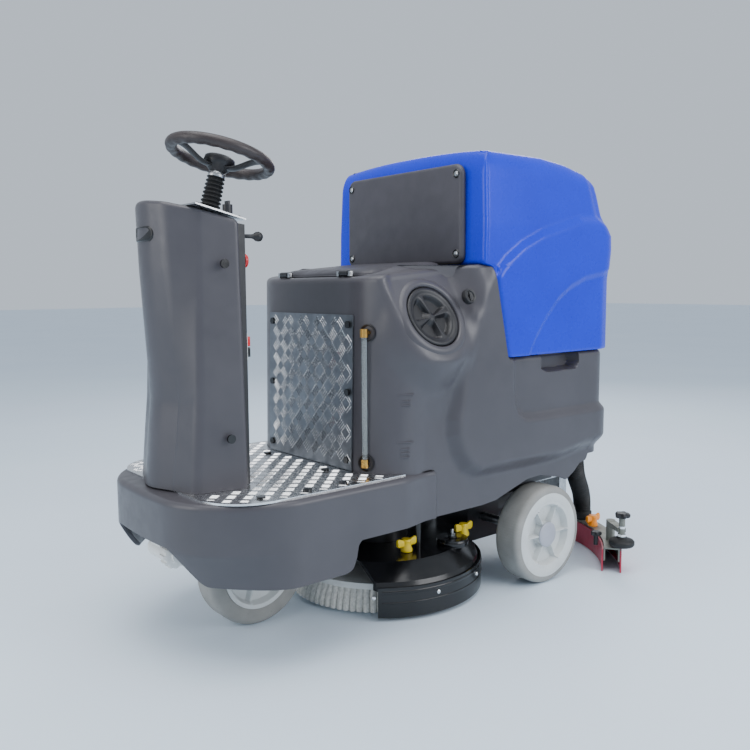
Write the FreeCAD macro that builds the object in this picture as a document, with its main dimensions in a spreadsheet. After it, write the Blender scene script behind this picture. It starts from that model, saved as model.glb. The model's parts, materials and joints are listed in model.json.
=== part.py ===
"""Ride-on floor scrubber: a small battery machine with one disc brush and a curved squeegee.

Frame: +X forward, +Y to the driver's left, +Z up, millimetres. The origin is on the ground,
at the middle of the machine's length and width. Every size comes from the sheet "Sizes".
"""
import FreeCAD, Part
import math
import os
import re

import Sketcher
from FreeCAD import Placement, Rotation, Vector

doc = FreeCAD.newDocument("ride_on_scrubber")

# ---------------------------------------------------------------- driving sizes
SIZES = {
    # the whole machine
    "total_length": 1366,
    "rear_overhang": 404,
    "wheelbase": 698,
    "body_width": 570,
    # wheels
    "wheel_radius": 125,
    "wheel_width": 74,
    "wheel_inset": 4,
    "rim_radius": 88,
    "shaft_radius": 12,
    "hub_radius": 32,
    # heights, stacked on the wheels' tops
    "floor_drop": 14,
    "deck_rise": 100,
    "rim_rise": 428,
    "seat_rise": 28,
    "joint_rise": 250,
    "tank_rise": 730,
    "skirt_depth": 63,
    # main shell
    "deck_length": 424,
    "seat_length": 304,
    "wall_lean": 10,
    "tail_length": 285,
    "nose_corner": 150,
    "seat_corner": 140,
    "tail_corner": 80,
    "edge_round": 14,
    "wall": 30,
    # fits
    "gap": 1,
    "running": 0.05,
    "slack": 0.4,
    # sheet metal and screws
    "plate": 4,
    "screw_head": 9,
    # steering
    "column_tilt": 15,
    "column_drop": 225,
    "sprocket_radius": 47,
    "wheel_ring": 104,
    "ring_tube": 13,
    "wheel_height": 680,
    "column_radius": 10,
    "fork_gauge": 6,
    "front_width": 70,
    # cowl
    "cowl_depth": 157,
    "cowl_back": 175,
    "cowl_foot": 150,
    "cowl_head": 133,
    "cowl_rise": 580,
    "cowl_fall": 41,
    "cowl_skin": 4,
    # scrubbing deck
    "brush_radius": 226,
    "brush_reach": 325,
    "skirt_radius": 262,
    "skirt_gap": 10,
    "bristle_gap": 6,
    # squeegee
    "blade_arc": 440,
    "blade_spread": 57.7,
    "channel_base": 30,
    "channel_depth": 36,
    "blade_gauge": 4,
    "blade_gap": 1,
    "hose_radius": 25,
    "roller_radius": 33,
    # filler and drain
    "filler_radius": 71,
    "filler_tilt": 27,
}

# Places worked out from the driving sizes. "axle", "nose" and the like are X places,
# "floor", "deck", "rim" and the like are heights.
DERIVED = {
    "axle": "rear_overhang - total_length / 2",
    "nose": "total_length / 2",
    "fork": "axle + wheelbase",
    "front": "nose - deck_length",
    "front_top": "front - wall_lean",
    "panel": "front - seat_length",
    "tail": "axle - tail_length",
    "half": "body_width / 2",
    "wheel_top": "2 * wheel_radius",
    "floor": "wheel_top - floor_drop",
    "deck": "wheel_top + deck_rise",
    "skirt": "floor - skirt_depth",
    "rim": "deck + rim_rise",
    "rim_back": "rim + seat_rise",
    "joint": "deck + joint_rise",
    "tank_top": "deck + tank_rise",
    "cowl_x": "nose - cowl_back",
    "brush_x": "axle + brush_reach",
    "blade_x": "axle - rear_overhang + blade_arc",
    "tyre_y": "half + wheel_inset - wheel_width",
    "seat_half": "half - 97",
    "access_half": "half - 117",
    "battery_side": "half - 110",
    "filler_y": "half - 23",
    "filler_z": "rim - 88",
    "column_x": "hub_x + column_drop * sin(column_tilt)",
    "hub_x": "cowl_x - 34",
    "hub_z": "deck + wheel_height",
    "arm_x": "axle - 150",
    "arm_z": "floor - 46",
    "knob_y": "brush_radius - 76",
    "channel_top": "channel_base + channel_depth",
    "brush_deck_z": "skirt_gap + 115",
    "pedal_x": "front + 90",
    "pedal_y": "-(half - 105)",
    "button_y": "cowl_head - 38",
    "button_z": "deck + 460",
    "lever_z": "deck + 510",
    "sight_x": "front - 7",
    "sight_y": "half - 81",
}

# The two elbows of the solution tank's level tube, each with the height of its socket's foot
ELBOWS = (("low", "deck + 14"), ("high", "rim - 130"))

sheet = doc.addObject("Spreadsheet::Sheet", "Sizes")
for row, (alias, number) in enumerate(SIZES.items(), start=1):
    sheet.set(f"A{row}", alias)
    sheet.set(f"B{row}", str(number))
    sheet.setAlias(f"B{row}", alias)
doc.recompute()


# ---------------------------------------------------------------- small tools
def formula(text):
    """The sheet's formula for a size written in plain names."""
    def swap(match):
        word = match.group(0)
        if word in DERIVED:
            return f"({formula(DERIVED[word])})"
        return f"Sizes.{word}" if word in SIZES else word
    return re.sub(r"[a-z][a-z_]*", swap, str(text))


def size(text):
    """The number that a formula gives now."""
    return float(sheet.evalExpression(formula(text)))


def bind(thing, **texts):
    """Tie an object's properties to the sheet."""
    for name, text in texts.items():
        thing.setExpression(name, formula(text))
    return thing


ALONG = {"X": Rotation(Vector(0, 1, 0), 90), "Y": Rotation(Vector(1, 0, 0), -90), "Z": Rotation()}


def place(thing, x, y, z, turn=None):
    """Put an object at a place tied to the sheet, turned by a fixed rotation."""
    thing.Placement = Placement(Vector(), turn or Rotation())
    for letter, text in zip("xyz", (x, y, z)):
        thing.setExpression(f".Placement.Base.{letter}", formula(text))
    return thing


def block(name, x, y, z, length, width, height):
    """A box from its lowest corner."""
    box = bind(doc.addObject("Part::Box", name), Length=length, Width=width, Height=height)
    return place(box, x, y, z)


def rod(name, x, y, z, radius, length, along="Z"):
    """A cylinder from the middle of its starting end."""
    bar = bind(doc.addObject("Part::Cylinder", name), Radius=radius, Height=length)
    return place(bar, x, y, z, ALONG[along])


def cut(name, base, *tools):
    """A solid less one or more others."""
    for number, tool in enumerate(tools):
        label = name if number == len(tools) - 1 else f"{name}_less_{number}"
        piece = doc.addObject("Part::Cut", label)
        piece.Base, piece.Tool = base, tool
        base = piece
    return base


def join(name, *pieces, refine=True):
    """Several solids made one."""
    whole = doc.addObject("Part::MultiFuse", name)
    whole.Shapes = list(pieces)
    whole.Refine = refine
    return whole


def group(name, *pieces):
    """Separate solids kept under one name."""
    whole = doc.addObject("Part::Compound", name)
    whole.Links = list(pieces)
    return whole


def tube(name, x, y, z, outer, inner, length, along="Z"):
    """A round tube from the middle of its starting end."""
    return cut(name, rod(f"{name}_outer", x, y, z, outer, length, along),
               rod(f"{name}_bore", x, y, z, inner, length, along))


# ---------------------------------------------------------------- sketched bodies
def new_body(name):
    return doc.addObject("PartDesign::Body", name)


def outline(body, plane, points, offset="0"):
    """A closed outline of straight lines, each corner tied to the sheet."""
    sketch = body.newObject("Sketcher::SketchObject", f"{body.Name}_outline")
    origin = [item for item in body.Origin.OriginFeatures if item.Role == plane][0]
    sketch.AttachmentSupport = [(origin, "")]
    sketch.MapMode = "FlatFace"
    sketch.setExpression(".AttachmentOffset.Base.z", formula(offset))
    spots = [Vector(size(across), size(up), 0) for across, up in points]
    count = len(spots)
    for number in range(count):
        sketch.addGeometry(Part.LineSegment(spots[number], spots[(number + 1) % count]))
    for number in range(count):
        sketch.addConstraint(Sketcher.Constraint("Coincident", number, 2, (number + 1) % count, 1))
    for number, (texts, spot) in enumerate(zip(points, spots)):
        for kind, text, value in zip(("DistanceX", "DistanceY"), texts, (spot.x, spot.y)):
            tie = sketch.addConstraint(Sketcher.Constraint(kind, -1, 1, number, 1, value))
            sketch.setExpression(f"Constraints[{tie}]", formula(text))
    doc.recompute()
    return sketch


def disc_outline(body, plane, across, up, radius, offset="0"):
    """A round outline tied to the sheet."""
    sketch = body.newObject("Sketcher::SketchObject", f"{body.Name}_circle")
    origin = [item for item in body.Origin.OriginFeatures if item.Role == plane][0]
    sketch.AttachmentSupport = [(origin, "")]
    sketch.MapMode = "FlatFace"
    sketch.setExpression(".AttachmentOffset.Base.z", formula(offset))
    middle = Vector(size(across), size(up), 0)
    sketch.addGeometry(Part.Circle(middle, Vector(0, 0, 1), size(radius)))
    ties = (("DistanceX", across, middle.x), ("DistanceY", up, middle.y))
    for kind, text, value in ties:
        tie = sketch.addConstraint(Sketcher.Constraint(kind, -1, 1, 0, 3, value))
        sketch.setExpression(f"Constraints[{tie}]", formula(text))
    tie = sketch.addConstraint(Sketcher.Constraint("Radius", 0, size(radius)))
    sketch.setExpression(f"Constraints[{tie}]", formula(radius))
    doc.recompute()
    return sketch


def pad(body, sketch, length, midplane=False):
    """A sketch given thickness."""
    feature = body.newObject("PartDesign::Pad", f"{body.Name}_pad")
    feature.Profile = sketch
    feature.Midplane = midplane
    bind(feature, Length=length)
    doc.recompute()
    return feature


def pocket(body, sketch, length, midplane=False, reverse=False):
    """A sketch cut into the body. The cut has to take something away."""
    before = body.Shape.Volume
    feature = body.newObject("PartDesign::Pocket", f"{body.Name}_pocket")
    feature.Profile = sketch
    feature.Midplane = midplane
    feature.Reversed = reverse
    bind(feature, Length=length)
    doc.recompute()
    if body.Shape.Volume > before - 1:
        raise RuntimeError(f"a pocket of {body.Name} cuts nothing")
    return feature


def soften(body, radius, chosen):
    """Round the edges of the body's last feature that the test picks."""
    base = body.Tip
    names = [f"Edge{number}" for number, edge in enumerate(base.Shape.Edges, start=1) if chosen(edge)]
    if not names:
        raise RuntimeError(f"no edge of {body.Name} to round")
    feature = body.newObject("PartDesign::Fillet", f"{body.Name}_round")
    feature.Base = (base, names)
    bind(feature, Radius=radius)
    doc.recompute()
    return feature


def turned(name, profile, x="0", y="0", z="0", along="Z", turn=None):
    """A turned piece: its profile is (radius, height) corners round its own Z axis."""
    body = new_body(name)
    sketch = outline(body, "XZ_Plane", profile)
    feature = body.newObject("PartDesign::Revolution", f"{name}_turn")
    feature.Profile = sketch
    feature.ReferenceAxis = (sketch, ["V_Axis"])
    feature.Angle = 360
    doc.recompute()
    return place(body, x, y, z, turn or ALONG[along])


def runs(edge, letter, span=1.0):
    """Whether a straight edge runs along one axis for at least a span."""
    first, last = edge.Vertexes[0].Point, edge.Vertexes[-1].Point
    move = last - first
    along = abs(getattr(move, letter))
    return along > span and along > 0.98 * move.Length


def near(edge, letter, place_text, reach=2.0):
    """Whether an edge's middle is at a place on one axis."""
    return abs(getattr(edge.CenterOfMass, letter) - size(place_text)) < reach


nodes = {}


def node(name, thing):
    """Name a finished sub-part: the name is its file's and its label."""
    thing.Label = name
    nodes[name] = thing
    return thing


# ---------------------------------------------------------------- the main shell
def solution_tank():
    """The rotomoulded body: deck, skirts, seat box and the shoulders round the recovery tank."""
    body = new_body("solution_tank")
    pad(body, outline(body, "XZ_Plane", [
        ("front - 180", "floor"), ("front + 79", "floor"), ("front + 91", "skirt"), ("nose", "skirt"),
        ("nose", "deck - plate"), ("front - 180", "deck - plate")]), "body_width", midplane=True)
    soften(body, "nose_corner", lambda edge: runs(edge, "z", 60) and near(edge, "x", "nose"))
    pad(body, outline(body, "XZ_Plane", [
        ("tail", "floor + 54"), ("tail + 110", "floor + 54"), ("tail + 150", "floor"),
        ("front", "floor"), ("front", "deck - plate"), ("front_top", "rim"), ("panel", "rim_back"),
        ("panel - 29", "rim_back - 6"), ("panel - 76", "joint"), ("tail", "joint")]),
        "body_width", midplane=True)
    soften(body, "seat_corner", lambda edge: runs(edge, "z", 200) and near(edge, "x", "front", 12))
    soften(body, "tail_corner", lambda edge: runs(edge, "z", 200) and near(edge, "x", "tail"))
    soften(body, "edge_round", lambda edge: near(edge, "z", "deck - plate")
           and size("front + 30") < edge.CenterOfMass.x)
    hollow_battery_bay(body)
    hollow_wheel_spaces(body)
    hollow_water_chamber(body)
    return body


def hollow_battery_bay(body):
    """The bay under the seat, its opening in the front wall and the seat's shallow well."""
    pocket(body, outline(body, "XZ_Plane", [
        ("panel + 14", "rim_back - 30"), ("front_top - 16", "rim - 26"), ("front_top - 16", "rim + 80"),
        ("panel + 14", "rim + 80")]), "2 * seat_half + 4", midplane=True)
    pocket(body, outline(body, "XZ_Plane", [
        ("axle - 40", "deck - 10"), ("front - wall", "deck - 10"), ("front - wall", "rim"),
        ("panel + 30", "rim"), ("panel + 30", "joint - 40"), ("axle - 40", "joint - 40")]),
        "body_width - 180", midplane=True)
    pocket(body, outline(body, "YZ_Plane", [
        ("-access_half + 18", "deck + 20"), ("access_half - 18", "deck + 20"),
        ("access_half - 18", "rim - 98"), ("-access_half + 18", "rim - 98")],
        "front + 20"), "wall + 30")


def hollow_wheel_spaces(body):
    """Spaces for the steered wheel, the rear wheels, the brush motor, its guides and the chain."""
    pocket(body, outline(body, "XZ_Plane", [
        ("fork - wheel_radius - 25", "skirt - 20"), ("fork - wheel_radius - 25", "wheel_top + 46"),
        ("fork + wheel_radius + 25", "wheel_top + 46"), ("fork + wheel_radius + 25", "floor"),
        ("nose + 20", "floor"), ("nose + 20", "skirt - 20")]), "300", midplane=True)
    pocket(body, outline(body, "XZ_Plane", [
        ("fork - sprocket_radius - 13", "deck - 30"), ("column_x + sprocket_radius + 13", "deck - 30"),
        ("column_x + sprocket_radius + 13", "deck"), ("fork - sprocket_radius - 13", "deck")]),
        "2 * sprocket_radius + 30", midplane=True)
    for side in (1, -1):
        middle = f"{-side} * (half - 40)"
        pocket(body, disc_outline(body, "XZ_Plane", "axle", "wheel_radius", "wheel_radius + 15", middle),
               "100", midplane=True)
    pocket(body, disc_outline(body, "XY_Plane", "brush_x", "0", "90", "floor + 80"), "120")
    for side in (1, -1):
        pocket(body, disc_outline(body, "XY_Plane", "brush_x", f"{side} * 150", "10", "floor + 60"), "90")
    pocket(body, disc_outline(body, "XY_Plane", "fork", "0", "15", "deck"), "80")
    pocket(body, disc_outline(body, "XY_Plane", "tail + 150", "-80", "78", "joint"), "170")
    pocket(body, disc_outline(body, "XY_Plane", "axle - 212", "205", "hose_radius + 1", "floor + 90"), "120")


def hollow_water_chamber(body):
    """The water space in the left wall, and the filler that leads down into it."""
    chamber = outline(body, "XZ_Plane", [
        ("front - 350", "deck"), ("front - 145", "deck"), ("front - 145", "rim - 60"),
        ("front - 350", "rim - 60")], "-(half - 52)")
    pocket(body, chamber, "56", midplane=True)


def filler_mouth(shell):
    """The round seat of the filler cap, cut into the shoulder at a slant."""
    turn = Rotation(Vector(1, 0, 0), -90 + size("filler_tilt"))
    seat = bind(doc.addObject("Part::Cylinder", "filler_seat"), Radius="filler_radius + 6", Height="140")
    throat = bind(doc.addObject("Part::Cylinder", "filler_throat"), Radius="filler_radius - 22", Height="90")
    place(seat, "front - 154", "filler_y - 15 * cos(filler_tilt)",
          "filler_z - 15 * sin(filler_tilt)", turn)
    place(throat, "front - 154", "filler_y - 60 * cos(filler_tilt)",
          "filler_z - 60 * sin(filler_tilt)", turn)
    return cut("solution_tank_cut", shell, seat, throat)


# ---------------------------------------------------------------- sheet metal and covers
def foot_plate():
    """The chequer plate over the deck, cut round the seat box and open over the chain slot's shafts."""
    body = new_body("foot_plate_blank")
    sketch = outline(body, "XY_Plane", [
        ("front - seat_corner + 4", "-(half - 18)"), ("nose - 50", "-(half - 18)"),
        ("nose - 50", "half - 18"), ("front - seat_corner + 4", "half - 18")], "deck - plate")
    pad(body, sketch, "plate")
    soften(body, "nose_corner - 36", lambda edge: runs(edge, "z", 3) and near(edge, "x", "nose - 50"))
    foot = new_body("seat_foot")
    sketch = outline(foot, "XY_Plane", [
        ("tail", "-half - gap"), ("front + gap", "-half - gap"), ("front + gap", "half + gap"),
        ("tail", "half + gap")], "deck - 20")
    pad(foot, sketch, "40")
    soften(foot, "seat_corner + gap", lambda edge: runs(edge, "z", 30) and near(edge, "x", "front + gap"))
    hole = rod("foot_plate_hole", "column_x", "0", "deck - 20", "column_radius + 2", "40")
    ears = [block(f"pedal_ear_{number}", "pedal_x - 5", y, "deck - 1", "10", "6", "15")
            for number, y in enumerate(("pedal_y - 46", "pedal_y + 40"))]
    pin = rod("pedal_pin", "pedal_x", "pedal_y - 46", "deck + 9", "3", "92", "Y")
    return join("foot_plate", cut("foot_plate_cut", body, foot, hole), *ears, pin)


def access_plate():
    """The leaning chequer plate that closes the front of the seat box."""
    body = new_body("access_plate")
    pad(body, outline(body, "XZ_Plane", [
        ("front + 0.2", "deck + gap"), ("front + 3.2", "deck + gap"),
        ("front + 3.2 - wall_lean * (rim_rise - 83) / rim_rise", "rim - 83"),
        ("front + 0.2 - wall_lean * (rim_rise - 83) / rim_rise", "rim - 83")]),
        "2 * access_half", midplane=True)
    return body


def leaning_rod(name, start, radius, length):
    """A cylinder on the steering column's leaning axis, from a distance below the hub."""
    bar = bind(doc.addObject("Part::Cylinder", name), Radius=radius, Height=length)
    turn = Rotation(Vector(0, 1, 0), 180 - size("column_tilt"))
    return place(bar, f"hub_x + ({start}) * sin(column_tilt)", "0", f"hub_z - ({start}) * cos(column_tilt)", turn)


def column_passage(name):
    """The way through the covers for the steering shaft."""
    return leaning_rod(name, "60", "column_radius + 6", "column_drop")


def front_cowl():
    """The steering cowl: an open-backed shell with a rounded nose and a top that falls to the rear."""
    body = new_body("front_cowl")
    pad(body, outline(body, "XZ_Plane", [
        ("cowl_x", "deck"), ("cowl_x + cowl_depth - 8", "deck"),
        ("cowl_x + cowl_depth", "deck + cowl_rise"), ("cowl_x", "deck + cowl_rise - cowl_fall")]),
        "2 * cowl_foot", midplane=True)
    soften(body, "96", lambda edge: runs(edge, "z", 300)
           and edge.CenterOfMass.x > size("cowl_x + cowl_depth / 2"))
    for side in (1, -1):
        pocket(body, outline(body, "YZ_Plane", [
            (f"{side} * cowl_foot", "deck"), (f"{side} * cowl_head", "deck + cowl_rise"),
            (f"{side} * (cowl_foot + 40)", "deck + cowl_rise"), (f"{side} * (cowl_foot + 40)", "deck")],
            "nose + 10"), "cowl_back + 40")
    pocket(body, outline(body, "XZ_Plane", [
        ("cowl_x - 20", "deck - 5"), ("cowl_x + cowl_depth - 46", "deck - 5"),
        ("cowl_x + cowl_depth - 46", "deck + cowl_rise - cowl_fall - cowl_skin"),
        ("cowl_x - 20", "deck + cowl_rise - cowl_fall - cowl_skin")]),
        "2 * (cowl_head - 12)", midplane=True)
    return cut("front_cowl_cut", body, column_passage("cowl_passage"))


def dash_panel():
    """The black panel that closes the cowl's open back."""
    body = new_body("dash_panel")
    pad(body, outline(body, "XZ_Plane", [
        ("cowl_x - 16", "deck + gap"), ("cowl_x - 0.2", "deck + gap"),
        ("cowl_x - 0.2", "deck + cowl_rise - cowl_fall - 6"), ("cowl_x - 16", "deck + cowl_rise - cowl_fall - 8")]),
        "2 * cowl_head - 18", midplane=True)
    button_hole = rod("button_hole", "cowl_x - 20", "button_y", "button_z", "7 + slack", "40", "X")
    return cut("dash_panel_cut", body, column_passage("dash_passage"), button_hole)


def console_outline(low, high):
    """The side view of a layer lying on the cowl's falling top, between two heights above it."""
    rise = "(cowl_fall + 5) / (cowl_depth + 40)"
    top = "deck + cowl_rise - cowl_fall"
    return [("cowl_x - 18", f"{top} + 2 * {rise} + {low}"), ("cowl_x + 92", f"{top} + 112 * {rise} + {low}"),
            ("cowl_x + 92", f"{top} + 112 * {rise} + {high}"), ("cowl_x - 18", f"{top} + 2 * {rise} + {high}")]


def console_plate():
    """The bare metal strip on top of the cowl that carries the boot and the key switch."""
    body = new_body("console_plate_blank")
    pad(body, outline(body, "XZ_Plane", console_outline("0.2", "3.2")), "2 * cowl_head - 12", midplane=True)
    return cut("console_plate", body, column_passage("console_passage"))


def cup_screws():
    """Black cup-washer screws on the foot plate, the access plate and the cowl's sides."""
    places = [("nose - 250", "half - 40"), ("nose - 340", "half - 40"), ("nose - 150", "half - 52"),
              ("front + 40", "120"), ("front + 40", "-120"), ("nose - 250", "-(half - 40)"),
              ("nose - 340", "-(half - 40)"), ("nose - 150", "-(half - 52)")]
    heads = [rod(f"foot_screw_{number}", x, y, "deck", "screw_head", "4")
             for number, (x, y) in enumerate(places)]
    for number, (y, rise) in enumerate((y, rise) for y in ("-access_half + 16", "access_half - 16")
                                       for rise in ("24", "175", "rim_rise - 104")):
        heads.append(rod(f"access_screw_{number}", f"front + 3.7 - wall_lean * ({rise}) / rim_rise", y,
                         f"deck + {rise}", "screw_head - 1", "4", "X"))
    for side in (1, -1):
        for number, (rise, width) in enumerate((("106", "148"), ("452", "138"))):
            start = f"{side} * {width}" if side > 0 else f"-{width} - 5"
            heads.append(rod(f"cowl_screw_{number}_{side + 1}", "cowl_x + 40", start, f"deck + {rise}",
                             "screw_head", "5", "Y"))
    return group("cup_screws", *heads)


# ---------------------------------------------------------------- steering
def steering_wheel():
    """A three-spoke wheel with a thick grip ring and a cupped hub."""
    tilt = Rotation(Vector(0, 1, 0), -size("column_tilt"))
    ring = bind(doc.addObject("Part::Torus", "grip_ring"), Radius1="wheel_ring", Radius2="ring_tube")
    place(ring, "hub_x", "0", "hub_z", tilt)
    pieces = [ring, leaning_rod("wheel_hub", "-8", "hub_radius - 4", "34")]
    for number, angle in enumerate((0, 120, 240)):
        spoke = bind(doc.addObject("Part::Box", f"spoke_{number}"), Length="wheel_ring", Width="26", Height="8")
        lean = tilt.multiply(Rotation(Vector(0, 0, 1), angle + 180))
        shift = lean.multVec(Vector(0, -13, -10))
        place(spoke, f"hub_x + {shift.x}", f"{shift.y}", f"hub_z + {shift.z}", lean)
        pieces.append(spoke)
    socket = leaning_rod("wheel_socket", "12", "column_radius", "30")
    return cut("steering_wheel", join("steering_wheel_solid", *pieces), socket)


def steering_chain():
    """The chain loop round the two steering sprockets, a band with straight sides and round ends."""
    def loop(name, radius, z, height):
        return join(name, rod(f"{name}_a", "fork", "0", z, radius, height),
                    rod(f"{name}_b", "column_x", "0", z, radius, height),
                    block(f"{name}_sides", "fork", f"-({radius})", z, "column_x - fork", f"2 * ({radius})", height))
    return cut("steering_chain", loop("chain_outer", "sprocket_radius + 7", "deck - 24", "8"),
               loop("chain_inner", "sprocket_radius + 2", "deck - 30", "20"))


def steering():
    """The wheel, its shaft, the boot, and the lower column whose sprocket turns the fork's chain."""
    node("steering_wheel", steering_wheel())
    node("steering_shaft", leaning_rod("steering_shaft", "12.5", "column_radius", "column_drop - 31"))
    below = new_body("below_console")
    pad(below, outline(below, "XZ_Plane", console_outline("-120", "3.4")), "200", midplane=True)
    node("steering_boot", cut("steering_boot", leaning_rod("boot_outer", "30", "22", "112"),
                              leaning_rod("boot_inner", "20", "column_radius + slack", "160"), below))
    ball = bind(doc.addObject("Part::Sphere", "column_ball"), Radius="17")
    place(ball, "column_x", "0", "hub_z - column_drop * cos(column_tilt)")
    node("column_shaft", join(
        "column_shaft", ball,
        rod("column_rod", "column_x", "0", "deck - 24", "column_radius",
            "wheel_height - column_drop * cos(column_tilt) + 24"),
        rod("column_sprocket", "column_x", "0", "deck - 24", "sprocket_radius", "7")))
    node("steering_chain", steering_chain())


def fork():
    """The steered fork: stem, sprocket, crown, two legs and the axle between them."""
    legs = [block(f"fork_leg_{number}", "fork - 25", y, "wheel_radius - 22", "50", "fork_gauge", "wheel_radius + 40")
            for number, y in enumerate(("front_width / 2 + 9", "-(front_width / 2 + 9 + fork_gauge)"))]
    crown = block("fork_crown", "fork - 30", "-(front_width / 2 + 15)", "wheel_top + 8", "60", "front_width + 30", "10")
    stem = rod("fork_stem", "fork", "0", "wheel_top + 10", "14", "deck - wheel_top - 16")
    sprocket = rod("fork_sprocket", "fork", "0", "deck - 24", "sprocket_radius", "7")
    axle = rod("fork_axle", "fork", "-(front_width / 2 + 19)", "wheel_radius", "8", "front_width + 38", "Y")
    return join("fork", *legs, crown, stem, sprocket, axle)


def tyre(name, x, y, width):
    """A solid tyre with rounded shoulders, its tread slightly crowned."""
    return turned(name, [
        ("rim_radius", "0"), ("wheel_radius - 9", "0"), ("wheel_radius - 2", "5"), ("wheel_radius", "16"),
        ("wheel_radius", f"{width} - 16"), ("wheel_radius - 2", f"{width} - 5"), ("wheel_radius - 9", width),
        ("rim_radius", width)], x, y, "wheel_radius", "Y")


def rim(name, x, y, width, bore):
    """A wheel centre: outer band, dished web with five windows, and a hub."""
    solid = turned(f"{name}_turned", [
        (bore, "4"), ("hub_radius", "4"), ("hub_radius", f"{width} / 2 - 8"), ("rim_radius - 10", f"{width} / 2 - 8"),
        ("rim_radius - 10", "2"), ("rim_radius", "2"), ("rim_radius", f"{width} - 2"),
        ("rim_radius - 10", f"{width} - 2"), ("rim_radius - 10", f"{width} / 2 + 8"),
        ("hub_radius", f"{width} / 2 + 8"), ("hub_radius", f"{width} - 4"), (bore, f"{width} - 4")],
        x, y, "wheel_radius", "Y")
    windows = []
    for number in range(5):
        angle = math.radians(72 * number + 36)
        reach = "(rim_radius - 10 + hub_radius) / 2"
        windows.append(rod(f"{name}_window_{number}", f"({x}) + {math.cos(angle)} * {reach}", f"({y}) - 1",
                           f"wheel_radius + {math.sin(angle)} * {reach}", "(rim_radius - hub_radius) / 2 - 9",
                           f"{width} + 2", "Y"))
    return cut(name, solid, join(f"{name}_windows", *windows))


def wheels():
    """The steered front wheel and the two driven rear wheels with their half shafts."""
    node("front_tyre", tyre("front_tyre", "fork", "-front_width / 2", "front_width"))
    node("front_rim", rim("front_rim", "fork", "-front_width / 2", "front_width", "8 + running"))
    for name, side in (("left", 1), ("right", -1)):
        start = "tyre_y" if side > 0 else "-tyre_y - wheel_width"
        node(f"rear_tyre_{name}", tyre(f"rear_tyre_{name}", "axle", start, "wheel_width"))
        node(f"rear_rim_{name}", rim(f"rear_rim_{name}", "axle", start, "wheel_width", "shaft_radius"))
        shaft = "40" if side > 0 else "-40 - (tyre_y + wheel_width - 48)"
        node(f"half_shaft_{name}", rod(f"half_shaft_{name}", "axle", shaft, "wheel_radius", "shaft_radius",
                                       "tyre_y + wheel_width - 48", "Y"))


def transaxle():
    """The drive: gearbox, motor, bearing plates and the mount that hangs it under the floor."""
    pieces = [block("gearbox", "axle - 62", "-62", "wheel_radius - 62", "124", "124", "124"),
              rod("drive_motor", "axle - 190", "0", "wheel_radius", "46", "140", "X"),
              block("drive_mount", "axle - 62", "-tyre_y + 12", "floor - 8", "124", "2 * tyre_y - 24", "7.6"),
              block("drive_web", "axle - 40", "-40", "wheel_radius + 40", "80", "80", "floor - wheel_radius - 44")]
    for side in (1, -1):
        start = "tyre_y - 20" if side > 0 else "-tyre_y + 12"
        pieces.append(block(f"bearing_plate_{side + 1}", "axle - 30", start, "wheel_radius - 30", "60", "8",
                            "floor - wheel_radius + 26"))
    bores = [rod("bearing_bore_left", "axle", "39", "wheel_radius", "shaft_radius + running", "300", "Y"),
             rod("bearing_bore_right", "axle", "-339", "wheel_radius", "shaft_radius + running", "300", "Y")]
    return cut("transaxle", join("transaxle_solid", *pieces), *bores)


# ---------------------------------------------------------------- scrubbing deck
def sector(name, x, z, outer, inner, height, spread):
    """An upright band on an arc, open towards the front, its middle at the rear."""
    start = Rotation(Vector(0, 0, 1), 180 - size(spread))
    ring = bind(doc.addObject("Part::Cylinder", f"{name}_outer"), Radius=outer, Height=height,
                Angle=f"2 * ({spread})")
    place(ring, x, "0", z, start)
    bore = rod(f"{name}_inner", x, "0", f"({z}) - 5", inner, f"({height}) + 10")
    return cut(name, ring, bore)


def brush_deck():
    """The stepped round cover over the brush, its rim band open at the front, and its guide posts."""
    cover = turned("deck_cover", [
        ("46", "brush_deck_z - 6"), ("skirt_radius - 52", "brush_deck_z - 6"),
        ("skirt_radius - 18", "brush_deck_z - 40"), ("skirt_radius - 18", "brush_deck_z - 56"),
        ("skirt_radius - 6", "brush_deck_z - 56"), ("skirt_radius - 6", "brush_deck_z - 50"),
        ("skirt_radius - 12", "brush_deck_z - 36"), ("skirt_radius - 48", "brush_deck_z"),
        ("46", "brush_deck_z")], "brush_x")
    posts = [rod(f"guide_post_{side + 1}", "brush_x", f"{side} * 150", "brush_deck_z - 3", "8",
                 "floor + 15 - brush_deck_z") for side in (1, -1)]
    pivot = rod("pivot_disc", "axle + 231", "173", "brush_deck_z - 3", "38", "17")
    front = block("front_opening", "brush_x + 165", "-skirt_radius - 5", "-5", "skirt_radius",
                  "2 * skirt_radius + 10", "brush_deck_z + 40")
    return cut("brush_deck", join("deck_solid", cover, *posts, pivot), front)


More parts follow.
